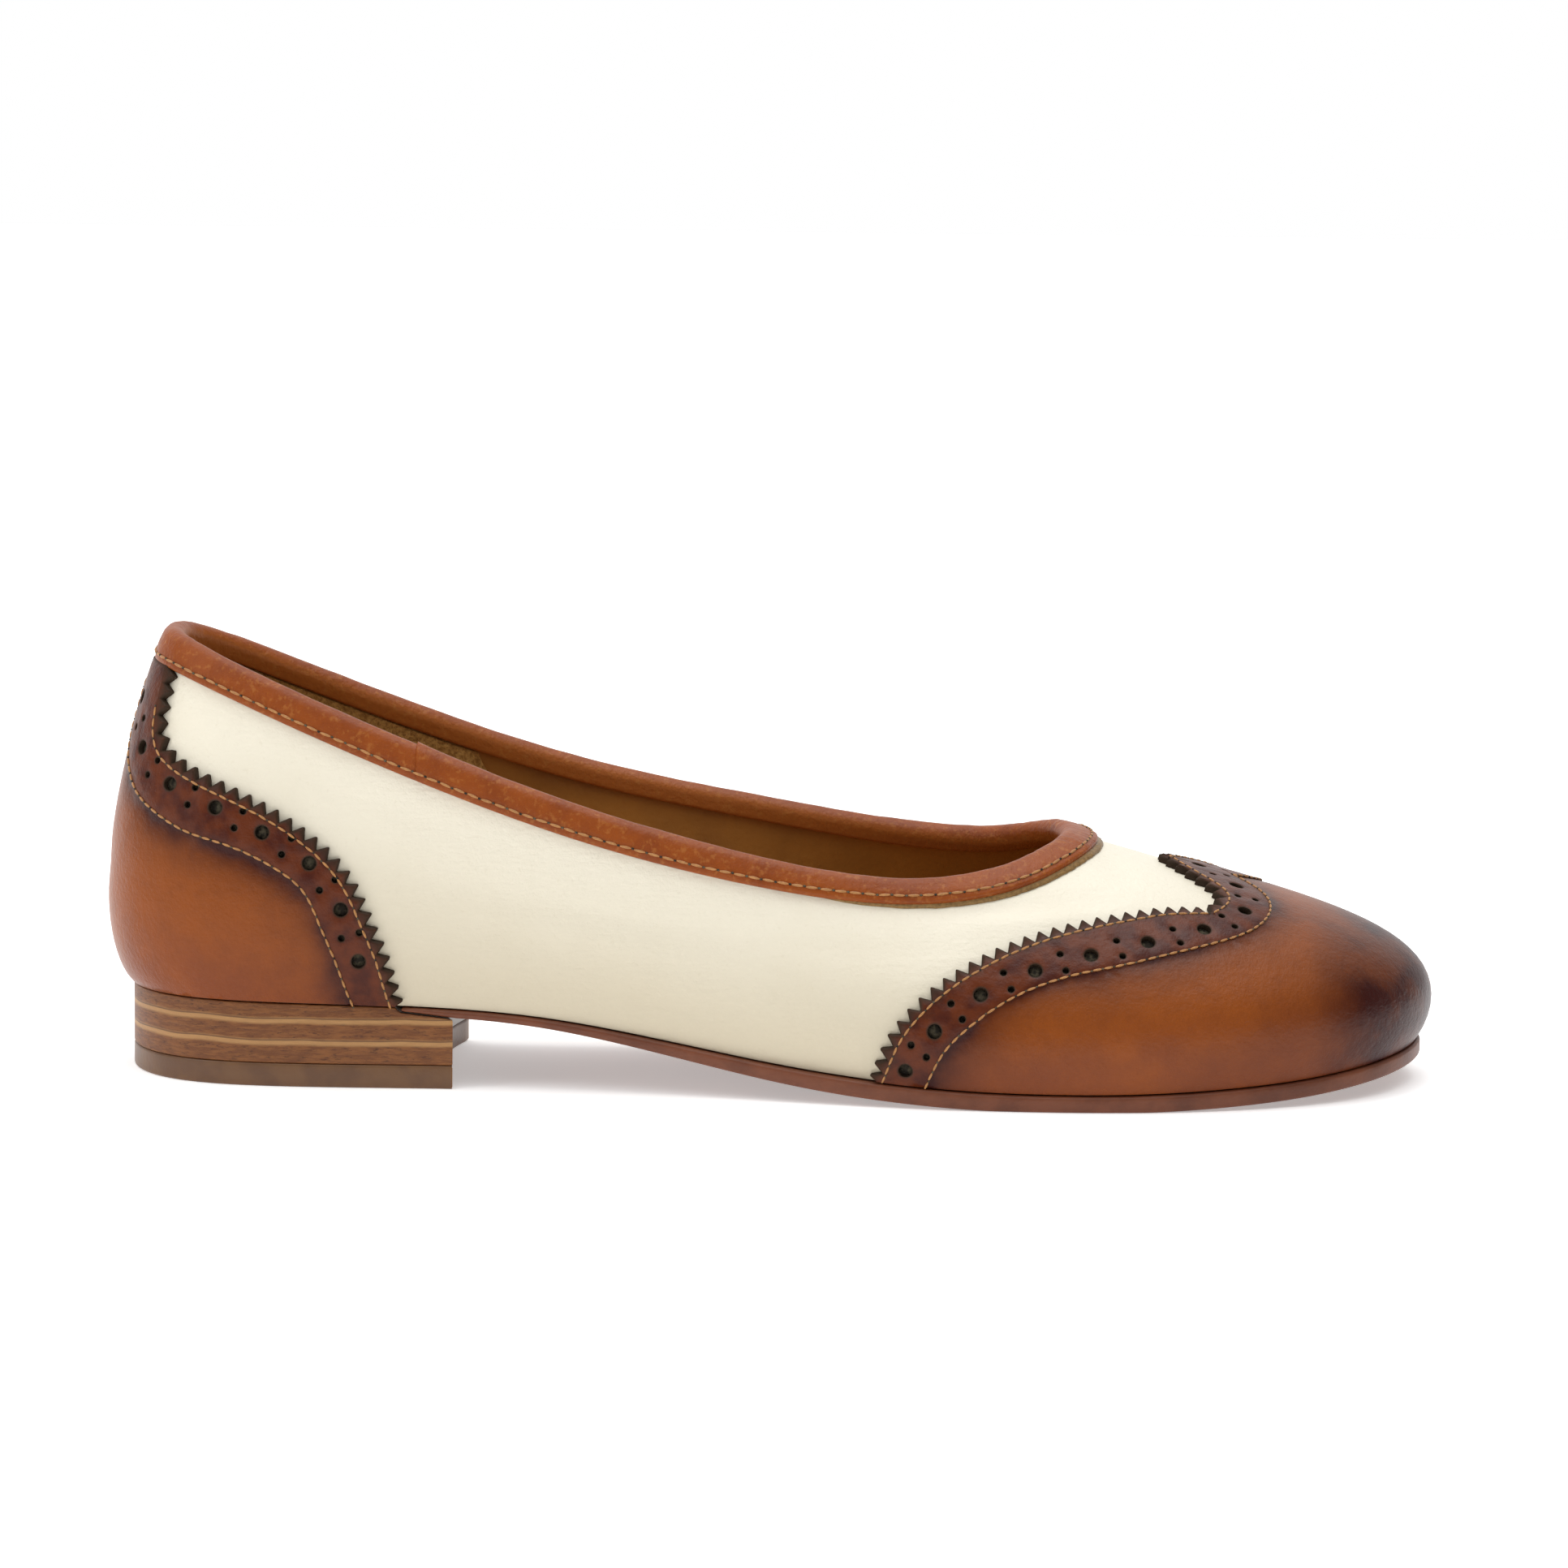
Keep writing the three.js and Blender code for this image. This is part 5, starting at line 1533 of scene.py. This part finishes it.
class SoleShape:
    """Heights and outlines of the sole and the heel."""

    def __init__(self, last):
        self.last = last
        self.sizes = settings("flat_sole")
        self.gap = settings("flat_upper").fit_gap
        back = float(last.row(0.0)[0]) - self.sizes.heel_ledge
        self.shift = last.shift[0]
        self.breast = back + self.sizes.heel_length
        self.skive = self.breast - self.sizes.skive_length

    def sole_top(self, places):
        return self.last.seat(places[:, 0] - self.shift) - self.gap

    def sole_thickness(self, x):
        sizes = self.sizes
        change = smooth_share(SOLE_CHANGE, x / self.last.sizes.length)
        skived = blend(sizes.skived_end, sizes.waist, (x - self.skive) / sizes.skive_length)
        return np.where(x < self.breast, skived, blend(sizes.waist, sizes.sole, change))

    def sole_bottom(self, places):
        x = places[:, 0] - self.shift
        return np.maximum(0, self.sole_top(places) - self.sole_thickness(x))

    def stack_top(self, places):
        """Top of the heel's stack, which passes under the sole's thinned end."""
        x = places[:, 0] - self.shift
        below = self.sole_top(places) - self.sole_thickness(x) - self.gap
        share = smooth_share((self.skive - 1.2 * MM, self.skive - self.gap), x)
        return blend(self.sole_top(places), below, share)

    def sole_ledge(self, along):
        return blend(self.sizes.waist_ledge, self.sizes.tread_ledge, smooth_share(SOLE_CHANGE, along))

    def breast_x(self, y):
        half = self.last.sizes.seat_width / 2
        hollow = self.sizes.breast_hollow * np.maximum(0, 1 - (y / half) ** 2)
        return self.breast + self.shift - hollow

    def heel_path(self, ledge):
        """Places round the heel from the breast on the inner side to the outer side."""
        path = foot_path(self.last, lambda along: ledge + 0 * along, -5.0, 5.0, 40)
        past = path[:, 0] - self.breast_x(path[:, 1])
        kept = np.flatnonzero(past < 0)
        first, last_one = kept[0], kept[-1]
        ends = []
        for inside, beyond in ((first, first - 1), (last_one, last_one + 1)):
            share = past[inside] / (past[inside] - past[beyond])
            ends.append(blend(path[inside], path[beyond], share))
        return np.concatenate([[ends[0]], path[first:last_one + 1], [ends[1]]])

    def breast_line(self, start, stop):
        y = np.linspace(start, stop, 26)[1:-1]
        return np.column_stack([self.breast_x(y), y])


class FLAT_OT_outsole(PieceOperator):
    """Leather outsole with a rounded edge, thinned where it ends over the heel"""

    bl_idname = "flat.outsole"
    bl_label = "Outsole"

    def build(self, last):
        shape = SoleShape(last)
        path = foot_path(last, shape.sole_ledge, 0.0, float(RIB_COUNT), 14)
        x = path[:, 0] - shape.shift
        ahead = np.flatnonzero(x > shape.skive)
        path = path[ahead[0]:ahead[-1] + 1]
        path[0, 0] = path[-1, 0] = shape.skive + shape.shift
        piece = slab_object(
            "outsole_leather", path, shape.sole_top, shape.sole_bottom,
            0.7 * MM, 2.2 * MM, [finish_of("burnished_sole_leather")],
        )
        finish_piece(piece, "sole_leather", "outsole")


class FLAT_OT_heel(PieceOperator):
    """Stacked heel: leather wrap, plastic block and rubber top piece"""

    bl_idname = "flat.heel"
    bl_label = "Heel"

    def build(self, last):
        shape = SoleShape(last)
        sizes = shape.sizes
        outer = shape.heel_path(sizes.heel_ledge)
        inner = shape.heel_path(sizes.heel_ledge - sizes.wrap)
        core = shape.heel_path(sizes.heel_ledge - sizes.wrap - shape.gap)
        bottom = sizes.top_piece
        wrap = slab_object(
            "heel_wrap_leather", np.concatenate([outer, inner[::-1]]), shape.stack_top,
            lambda places: bottom + 0 * places[:, 0], 0.3 * MM, 1.6 * MM,
            [finish_of("stacked_heel_leather")],
        )
        finish_piece(wrap, "stacked_leather", "heel_wrap")
        front = shape.breast_line(core[-1, 1], core[0, 1])
        block = slab_object(
            "heel_block_plastic", np.concatenate([core, front]), shape.stack_top,
            lambda places: bottom + 0 * places[:, 0], 0.3 * MM, 2 * MM, [finish_of("moulded_abs")],
        )
        finish_piece(block, "grey_plastic", "heel_block")
        front = shape.breast_line(outer[-1, 1], outer[0, 1])
        top_piece = slab_object(
            "top_piece_rubber", np.concatenate([outer, front]),
            lambda places: bottom - 0.02 * MM + 0 * places[:, 0],
            lambda places: 0 * places[:, 0], sizes.rounding, 1.6 * MM,
            [finish_of("honey_brown_rubber")],
        )
        finish_piece(top_piece, "heel_rubber", "top_piece")


class FLAT_OT_sock(PieceOperator):
    """Insole covered with its sock, a little hollowed by the foot"""

    bl_idname = "flat.sock"
    bl_label = "Sock"

    def build(self, last):
        shape = SoleShape(last)
        sizes = shape.sizes
        inset = settings("flat_upper").wall + shape.gap
        loop = foot_path(last, lambda along: -inset + 0 * along, 0.0, float(RIB_COUNT), 12)[:-1]

        def seat(places):
            return last.seat(places[:, 0] - shape.shift)

        def top(places):
            border = distances_to(places, loop)
            raised = 0.6 * MM * np.exp(-border / (5 * MM))
            return seat(places) + sizes.sock - 0.5 * MM + raised

        piece = slab_object(
            "sock_leather_cover", loop, top, seat, 0.5 * MM, 2.2 * MM, [finish_of("sock_leather")]
        )
        mesh = piece.data
        points = np.empty(3 * len(mesh.vertices))
        mesh.vertices.foreach_get("co", points)
        x = points.reshape(-1, 3)[:, 0] / last.sizes.length
        y = points.reshape(-1, 3)[:, 1] / MM
        heel = np.exp(-((x + 0.36) / 0.07) ** 2 - (y / 15) ** 2)
        ball = np.exp(-((x - 0.2) / 0.07) ** 2 - (y / 24) ** 2)
        layer = mesh.attributes.new("pressed", "FLOAT", "POINT")
        layer.data.foreach_set("value", (0.35 * (heel + ball)).astype(np.float32))
        finish_piece(piece, "sock_leather", "insole")


def tree_with_inputs(name, inputs):
    """A geometry node tree with its geometry sockets and named inputs for its sizes."""
    tree = bpy.data.node_groups.new(name, "GeometryNodeTree")
    tree.is_modifier = True
    tree.interface.new_socket("Geometry", in_out="INPUT", socket_type="NodeSocketGeometry")
    tree.interface.new_socket("Geometry", in_out="OUTPUT", socket_type="NodeSocketGeometry")
    for label, kind in inputs.items():
        tree.interface.new_socket(label, in_out="INPUT", socket_type=kind)
    return tree, add_node(tree, "NodeGroupInput")


def end_tree(tree, instances, material):
    """Makes the instances real, gives them their material and ends the tree."""
    real = add_node(tree, "GeometryNodeRealizeInstances", {"Geometry": instances})
    dressed = add_node(
        tree, "GeometryNodeSetMaterial", {"Geometry": real.outputs[0], "Material": material}
    )
    add_node(tree, "NodeGroupOutput", {"Geometry": dressed.outputs[0]})


def outward_attribute(tree):
    node = add_node(
        tree, "GeometryNodeInputNamedAttribute", {"Name": "outward"}, data_type="FLOAT_VECTOR"
    )
    return node.outputs["Attribute"]


def stitch_tree():
    """Rounded stitches at an even pitch along every row of a wire mesh."""
    tree, given = tree_with_inputs("stitches", {
        "Pitch": "NodeSocketFloat", "Thread": "NodeSocketFloat", "Share": "NodeSocketFloat",
        "Shift": "NodeSocketFloat", "Seed": "NodeSocketInt", "Material": "NodeSocketMaterial",
    })
    rows = add_node(tree, "GeometryNodeMeshToCurve", {"Mesh": given.outputs["Geometry"]})
    spaced = add_node(
        tree, "GeometryNodeResampleCurve",
        {"Curve": rows.outputs[0], "Length": given.outputs["Pitch"]}, mode="LENGTH",
    )
    tangent = add_node(tree, "GeometryNodeInputTangent")
    facing = add_node(
        tree, "FunctionNodeAxesToRotation",
        {"Primary Axis": outward_attribute(tree), "Secondary Axis": tangent.outputs[0]},
        primary_axis="Z", secondary_axis="X",
    )
    small_turn = add_node(
        tree, "FunctionNodeRandomValue", {"Seed": given.outputs["Seed"]}, data_type="FLOAT_VECTOR"
    )
    small_turn.inputs[0].default_value = (-0.05, -0.04, -0.07)
    small_turn.inputs[1].default_value = (0.05, 0.04, 0.07)
    turned = add_node(
        tree, "FunctionNodeRotateRotation",
        {"Rotation": facing.outputs[0], "Rotate By": small_turn.outputs[0]},
        rotation_space="LOCAL",
    )
    bead = add_node(tree, "GeometryNodeMeshUVSphere", {"Segments": 10, "Rings": 6, "Radius": 0.5})
    turned_bead = add_node(
        tree, "GeometryNodeTransform",
        {"Geometry": bead.outputs[0], "Rotation": (0, math.radians(90), 0)},
    )
    stitch_size = add_node(
        tree, "ShaderNodeCombineXYZ", {"X": given.outputs["Share"], "Y": 1.0, "Z": 1.0}
    )
    ahead = add_node(tree, "ShaderNodeCombineXYZ", {"X": given.outputs["Shift"]})
    shaped = add_node(tree, "GeometryNodeTransform", {
        "Geometry": turned_bead.outputs[0], "Scale": stitch_size.outputs[0],
        "Translation": ahead.outputs[0],
    })
    size = add_node(
        tree, "ShaderNodeCombineXYZ",
        {"X": given.outputs["Pitch"], "Y": given.outputs["Thread"], "Z": given.outputs["Thread"]},
    )
    placed = add_node(tree, "GeometryNodeInstanceOnPoints", {
        "Points": spaced.outputs[0], "Instance": shaped.outputs[0],
        "Rotation": turned.outputs[0], "Scale": size.outputs[0],
    })
    end_tree(tree, placed.outputs[0], given.outputs["Material"])
    return tree


def backing_tree():
    """A small round backing behind every punched hole."""
    tree, given = tree_with_inputs("hole_backings", {
        "Material": "NodeSocketMaterial", "Corners": "NodeSocketInt",
    })
    facing = add_node(
        tree, "FunctionNodeAlignRotationToVector", {"Vector": outward_attribute(tree)}, axis="Z"
    )
    radius = add_node(
        tree, "GeometryNodeInputNamedAttribute", {"Name": "radius"}, data_type="FLOAT"
    )
    disc = add_node(
        tree, "GeometryNodeMeshCone",
        {"Vertices": given.outputs["Corners"], "Radius Top": 1.0, "Radius Bottom": 1.0,
         "Depth": 0.06},
    )
    placed = add_node(tree, "GeometryNodeInstanceOnPoints", {
        "Points": given.outputs["Geometry"], "Instance": disc.outputs["Mesh"],
        "Rotation": facing.outputs[0], "Scale": radius.outputs["Attribute"],
    })
    end_tree(tree, placed.outputs[0], given.outputs["Material"])
    return tree


def wire_object(name, rows, normals, radii=None):
    """A mesh of open rows of points, each with the direction out of the leather."""
    points = np.concatenate(rows)
    edges = []
    first = 0
    for row in rows:
        if len(row) > 1 and radii is None:
            edges += [(first + i, first + i + 1) for i in range(len(row) - 1)]
        first += len(row)
    mesh = bpy.data.meshes.new(name)
    mesh.from_pydata(points.tolist(), edges, [])
    layer = mesh.attributes.new("outward", "FLOAT_VECTOR", "POINT")
    layer.data.foreach_set("vector", np.concatenate(normals).astype(np.float32).ravel())
    if radii is not None:
        layer = mesh.attributes.new("radius", "FLOAT", "POINT")
        layer.data.foreach_set("value", np.asarray(radii, dtype=np.float32))
    wire = bpy.data.objects.new(name, mesh)
    bpy.context.scene.collection.objects.link(wire)
    return wire


def grown(wire, tree, values, name):
    """The plain mesh that a node tree makes of a wire, with the wire taken away."""
    modifier = wire.modifiers.new(tree.name, "NODES")
    modifier.node_group = tree
    sockets = {item.name: item.identifier for item in tree.interface.items_tree}
    for label, value in values.items():
        modifier[sockets[label]] = value
    bpy.context.view_layer.update()
    evaluated = wire.evaluated_get(bpy.context.evaluated_depsgraph_get())
    mesh = bpy.data.meshes.new_from_object(evaluated)
    mesh.name = name
    wire.modifiers.clear()
    bpy.data.objects.remove(wire)
    mesh.shade_smooth()
    piece = bpy.data.objects.new(name, mesh)
    bpy.context.scene.collection.objects.link(piece)
    return piece


def row_on_overlay(last, rows, side, inset, height, lowest, highest):
    """Points and normals of a stitch row beside a pattern line."""
    line = PatternLine(last, rows)
    distances = np.arange(0.6 * MM, line.length - 0.3 * MM, 0.5 * MM)
    places = line.beside(distances, side * inset + 0 * distances)
    places = places[(places[:, 1] > lowest) & (places[:, 1] < highest)]
    rib, up = places[:, 0], places[:, 1]
    points = off_last(last, rib, up, height + 0 * rib)
    return points, last.directions(rib, up)[2]


class FLAT_OT_stitches(PieceOperator):
    """Stitch rows of the overlays and the binding"""

    bl_idname = "flat.stitches"
    bl_label = "Stitches"

    def build(self, last):
        sizes = settings("flat_stitch")
        upper = settings("flat_upper")
        self.tree = stitch_tree()
        rows = self.overlay_rows(last, sizes, upper)
        self.sew("overlay", rows, sizes.overlay_pitch, sizes.thread, "tan_leather")
        rows = [self.binding_row(last, sizes, upper)]
        self.sew("binding", rows, sizes.binding_pitch, sizes.binding_thread, "binding_leather")

    def sew(self, name, rows, pitch, thread, slot):
        """The stitches of a group of rows, and dark beads between them that paint the shade in the
        needle holes.
        """
        kinds = [
            (f"{name}_stitches", f"{name}_thread", 0.84, 0.0, thread),
            # The dark beads between the stitches are painted shade for the needle holes
            (f"{name}_needle_hole_shade", "dark_backing_and_needle_shade", 0.2, 0.5, 0.85 * thread),
        ]
        for piece_name, finish, share, shift, width in kinds:
            wire = wire_object("rows", [row[0] for row in rows], [row[1] for row in rows])
            piece = grown(wire, self.tree, {
                "Pitch": pitch, "Thread": width, "Share": share, "Shift": shift,
                "Seed": settings("flat_stitch").seed, "Material": finish_of(finish),
            }, piece_name)
            finish_piece(piece, slot)

    def overlay_rows(self, last, sizes, upper):
        inset = upper.tooth_depth + sizes.edge_distance
        top = upper.fit_gap + upper.overlay + 0.5 * upper.strip_rise
        beside_strip = top - 0.35 * upper.strip_rise
        rows = []
        for turned, side in ((lambda line: line, 1), (mirrored, -1)):
            for line in (WING_SIDE, WING_PEAK):
                rows.append(row_on_overlay(last, turned(line), -side, inset, top, 0.01, 1))
            rows.append(
                row_on_overlay(last, turned(WING_INNER_ROW), side, 0, beside_strip, 0.01, 1)
            )
        for mirror in (1, -1):
            side_line = [(mirror * rib, up) for rib, up in COUNTER_SIDE]
            inner_line = [(mirror * rib, up) for rib, up in COUNTER_INNER_ROW]
            rows.append(row_on_overlay(last, side_line, mirror, inset, top, 0.01, 0.9))
            rows.append(row_on_overlay(last, inner_line, mirror, 0, beside_strip, 0.01, 0.88))
        return rows

    def binding_row(self, last, sizes, upper):
        binding = settings("flat_binding")
        ribs = np.linspace(0, RIB_COUNT, 900)
        up = last.up_below_rim(ribs, binding_outside(ribs) - sizes.binding_distance)
        height = upper.fit_gap + 1.12 * binding.leather + 0.12 * MM
        points = off_last(last, ribs, up, height + lap_height(ribs))
        return points, last.directions(ribs, up)[2]


class FLAT_OT_hole_backings(PieceOperator):
    """Dark backing seen in the punched holes"""

    bl_idname = "flat.hole_backings"
    bl_label = "Hole backings"

    def build(self, last):
        sizes = settings("flat_upper")
        points, normals, radii = [], [], []
        for overlay, _, _ in (make_cap(last), make_counter(last)):
            for places, radius in (
                (overlay.large, sizes.hole_radius), (overlay.pinholes, sizes.pinhole_radius),
            ):
                rib, up = places[:, 0], places[:, 1]
                points.append(off_last(last, rib, up, 0.14 * MM + 0 * rib))
                normals.append(last.directions(rib, up)[2])
                radii.append(np.full(len(rib), 1.1 * radius))
        wire = wire_object("hole_points", points, normals, np.concatenate(radii))
        piece = grown(wire, backing_tree(), {
            "Material": finish_of("dark_backing_and_needle_shade"), "Corners": 16,
        }, "hole_backings")
        finish_piece(piece, "tan_leather")


class FLAT_OT_stage(bpy.types.Operator):
    """White studio floor, soft lights and the camera"""

    bl_idname = "flat.stage"
    bl_label = "Stage"

    floor_size = 6.0
    aim_on_last = (128.8 * MM, 0.0, 54.4 * MM)
    distance = 1.2
    elevation = 8.0
    roll = 0.63
    lens = 145.43

    def execute(self, context):
        self.aim = Vector(self.aim_on_last) + Vector(Last().shift)
        self.floor()
        self.lights()
        self.camera()
        context.scene.view_settings.view_transform = "Standard"
        return {"FINISHED"}

    def floor(self):
        half = self.floor_size / 2
        mesh = bpy.data.meshes.new("studio_floor")
        corners = [(-half, -half, 0), (half, -half, 0), (half, half, 0), (-half, half, 0)]
        mesh.from_pydata(corners, [], [(0, 1, 2, 3)])
        mesh.materials.append(finish_of("white_studio_paper"))
        piece = bpy.data.objects.new("studio_floor", mesh)
        bpy.context.scene.collection.objects.link(piece)

    def lights(self):
        world = bpy.data.worlds.new("white_room")
        world.use_nodes = True
        world.node_tree.nodes.clear()
        tree = world.node_tree
        direction = add_node(tree, "ShaderNodeTexCoord").outputs["Generated"]
        split = add_node(tree, "ShaderNodeSeparateXYZ", {"Vector": direction})
        horizon = remap(tree, split.outputs["Z"], 0.04, 0.2, 1.0, 0.0)
        overhead = remap(tree, split.outputs["Z"], 0.45, 0.85, 0.0, 1.5)
        behind = remap(tree, split.outputs["Y"], -0.3, 0.7, 0.12, 0.95)
        level = add_up(tree, add_up(tree, horizon, behind, "MAXIMUM"), overhead, "MAXIMUM")
        toe_side = remap(tree, split.outputs["X"], 0.25, 0.85, 1.0, 0.4)
        level = add_up(tree, level, toe_side, "MULTIPLY")
        white = add_node(
            tree, "ShaderNodeBackground", {"Color": (1, 1, 1, 1), "Strength": level}
        )
        add_node(tree, "ShaderNodeOutputWorld", {"Surface": white.outputs[0]})
        bpy.context.scene.world = world
        self.area_light("softbox_above", (0.1, 0.0, 1.3), (1.1, 0.7), 6)
        self.area_light("softbox_left", (-1.3, -0.7, 0.8), (0.7, 0.9), 4)

    def area_light(self, name, place, size, power):
        data = bpy.data.lights.new(name, "AREA")
        data.shape = "RECTANGLE"
        data.size, data.size_y = size
        data.energy = power
        light = bpy.data.objects.new(name, data)
        light.location = place
        towards = self.aim - Vector(place)
        light.rotation_euler = towards.to_track_quat("-Z", "Y").to_euler()
        bpy.context.scene.collection.objects.link(light)

    def camera(self):
        data = bpy.data.cameras.new("camera")
        data.lens = self.lens
        data.sensor_width = 36
        data.clip_end = 20
        camera = bpy.data.objects.new("camera", data)
        elevation = math.radians(self.elevation)
        back = Vector((0, -math.cos(elevation), math.sin(elevation)))
        place = self.aim + back * self.distance
        turn = (-back).to_track_quat("-Z", "Y").to_matrix().to_4x4()
        roll = Matrix.Rotation(math.radians(self.roll), 4, "Z")
        camera.matrix_world = Matrix.Translation(place) @ turn @ roll
        bpy.context.scene.collection.objects.link(camera)
        bpy.context.scene.camera = camera


PIECE_OPERATORS = [
    FLAT_OT_upper, FLAT_OT_toe_cap, FLAT_OT_heel_counter, FLAT_OT_binding, FLAT_OT_heel_grip,
    FLAT_OT_sock, FLAT_OT_outsole, FLAT_OT_heel, FLAT_OT_stitches, FLAT_OT_hole_backings,
]


class FLAT_PT_panel(bpy.types.Panel):
    """The shoe's operators and sizes in the sidebar"""

    bl_idname = "FLAT_PT_panel"
    bl_label = "Ballet flat"
    bl_space_type = "VIEW_3D"
    bl_region_type = "UI"
    bl_category = "Ballet Flat"

    def draw(self, context):
        for group, kind in SIZE_GROUPS.items():
            column = self.layout.column(heading=group)
            for name in kind.__annotations__:
                column.prop(getattr(context.scene, group), name)
        for operator in [*PIECE_OPERATORS, FLAT_OT_stage]:
            self.layout.operator(operator.bl_idname)


CLASSES = [*SIZE_GROUPS.values(), *PIECE_OPERATORS, FLAT_OT_stage, FLAT_PT_panel]


def register():
    for kind in CLASSES:
        bpy.utils.register_class(kind)
    for group, kind in SIZE_GROUPS.items():
        setattr(bpy.types.Scene, group, PointerProperty(type=kind))


def unregister():
    for group in SIZE_GROUPS:
        delattr(bpy.types.Scene, group)
    for kind in reversed(CLASSES):
        bpy.utils.unregister_class(kind)


def main():
    register()
    for operator in [*PIECE_OPERATORS, FLAT_OT_stage]:
        category, name = operator.bl_idname.split(".")
        getattr(getattr(bpy.ops, category), name)()


if __name__ == "__main__":
    main()
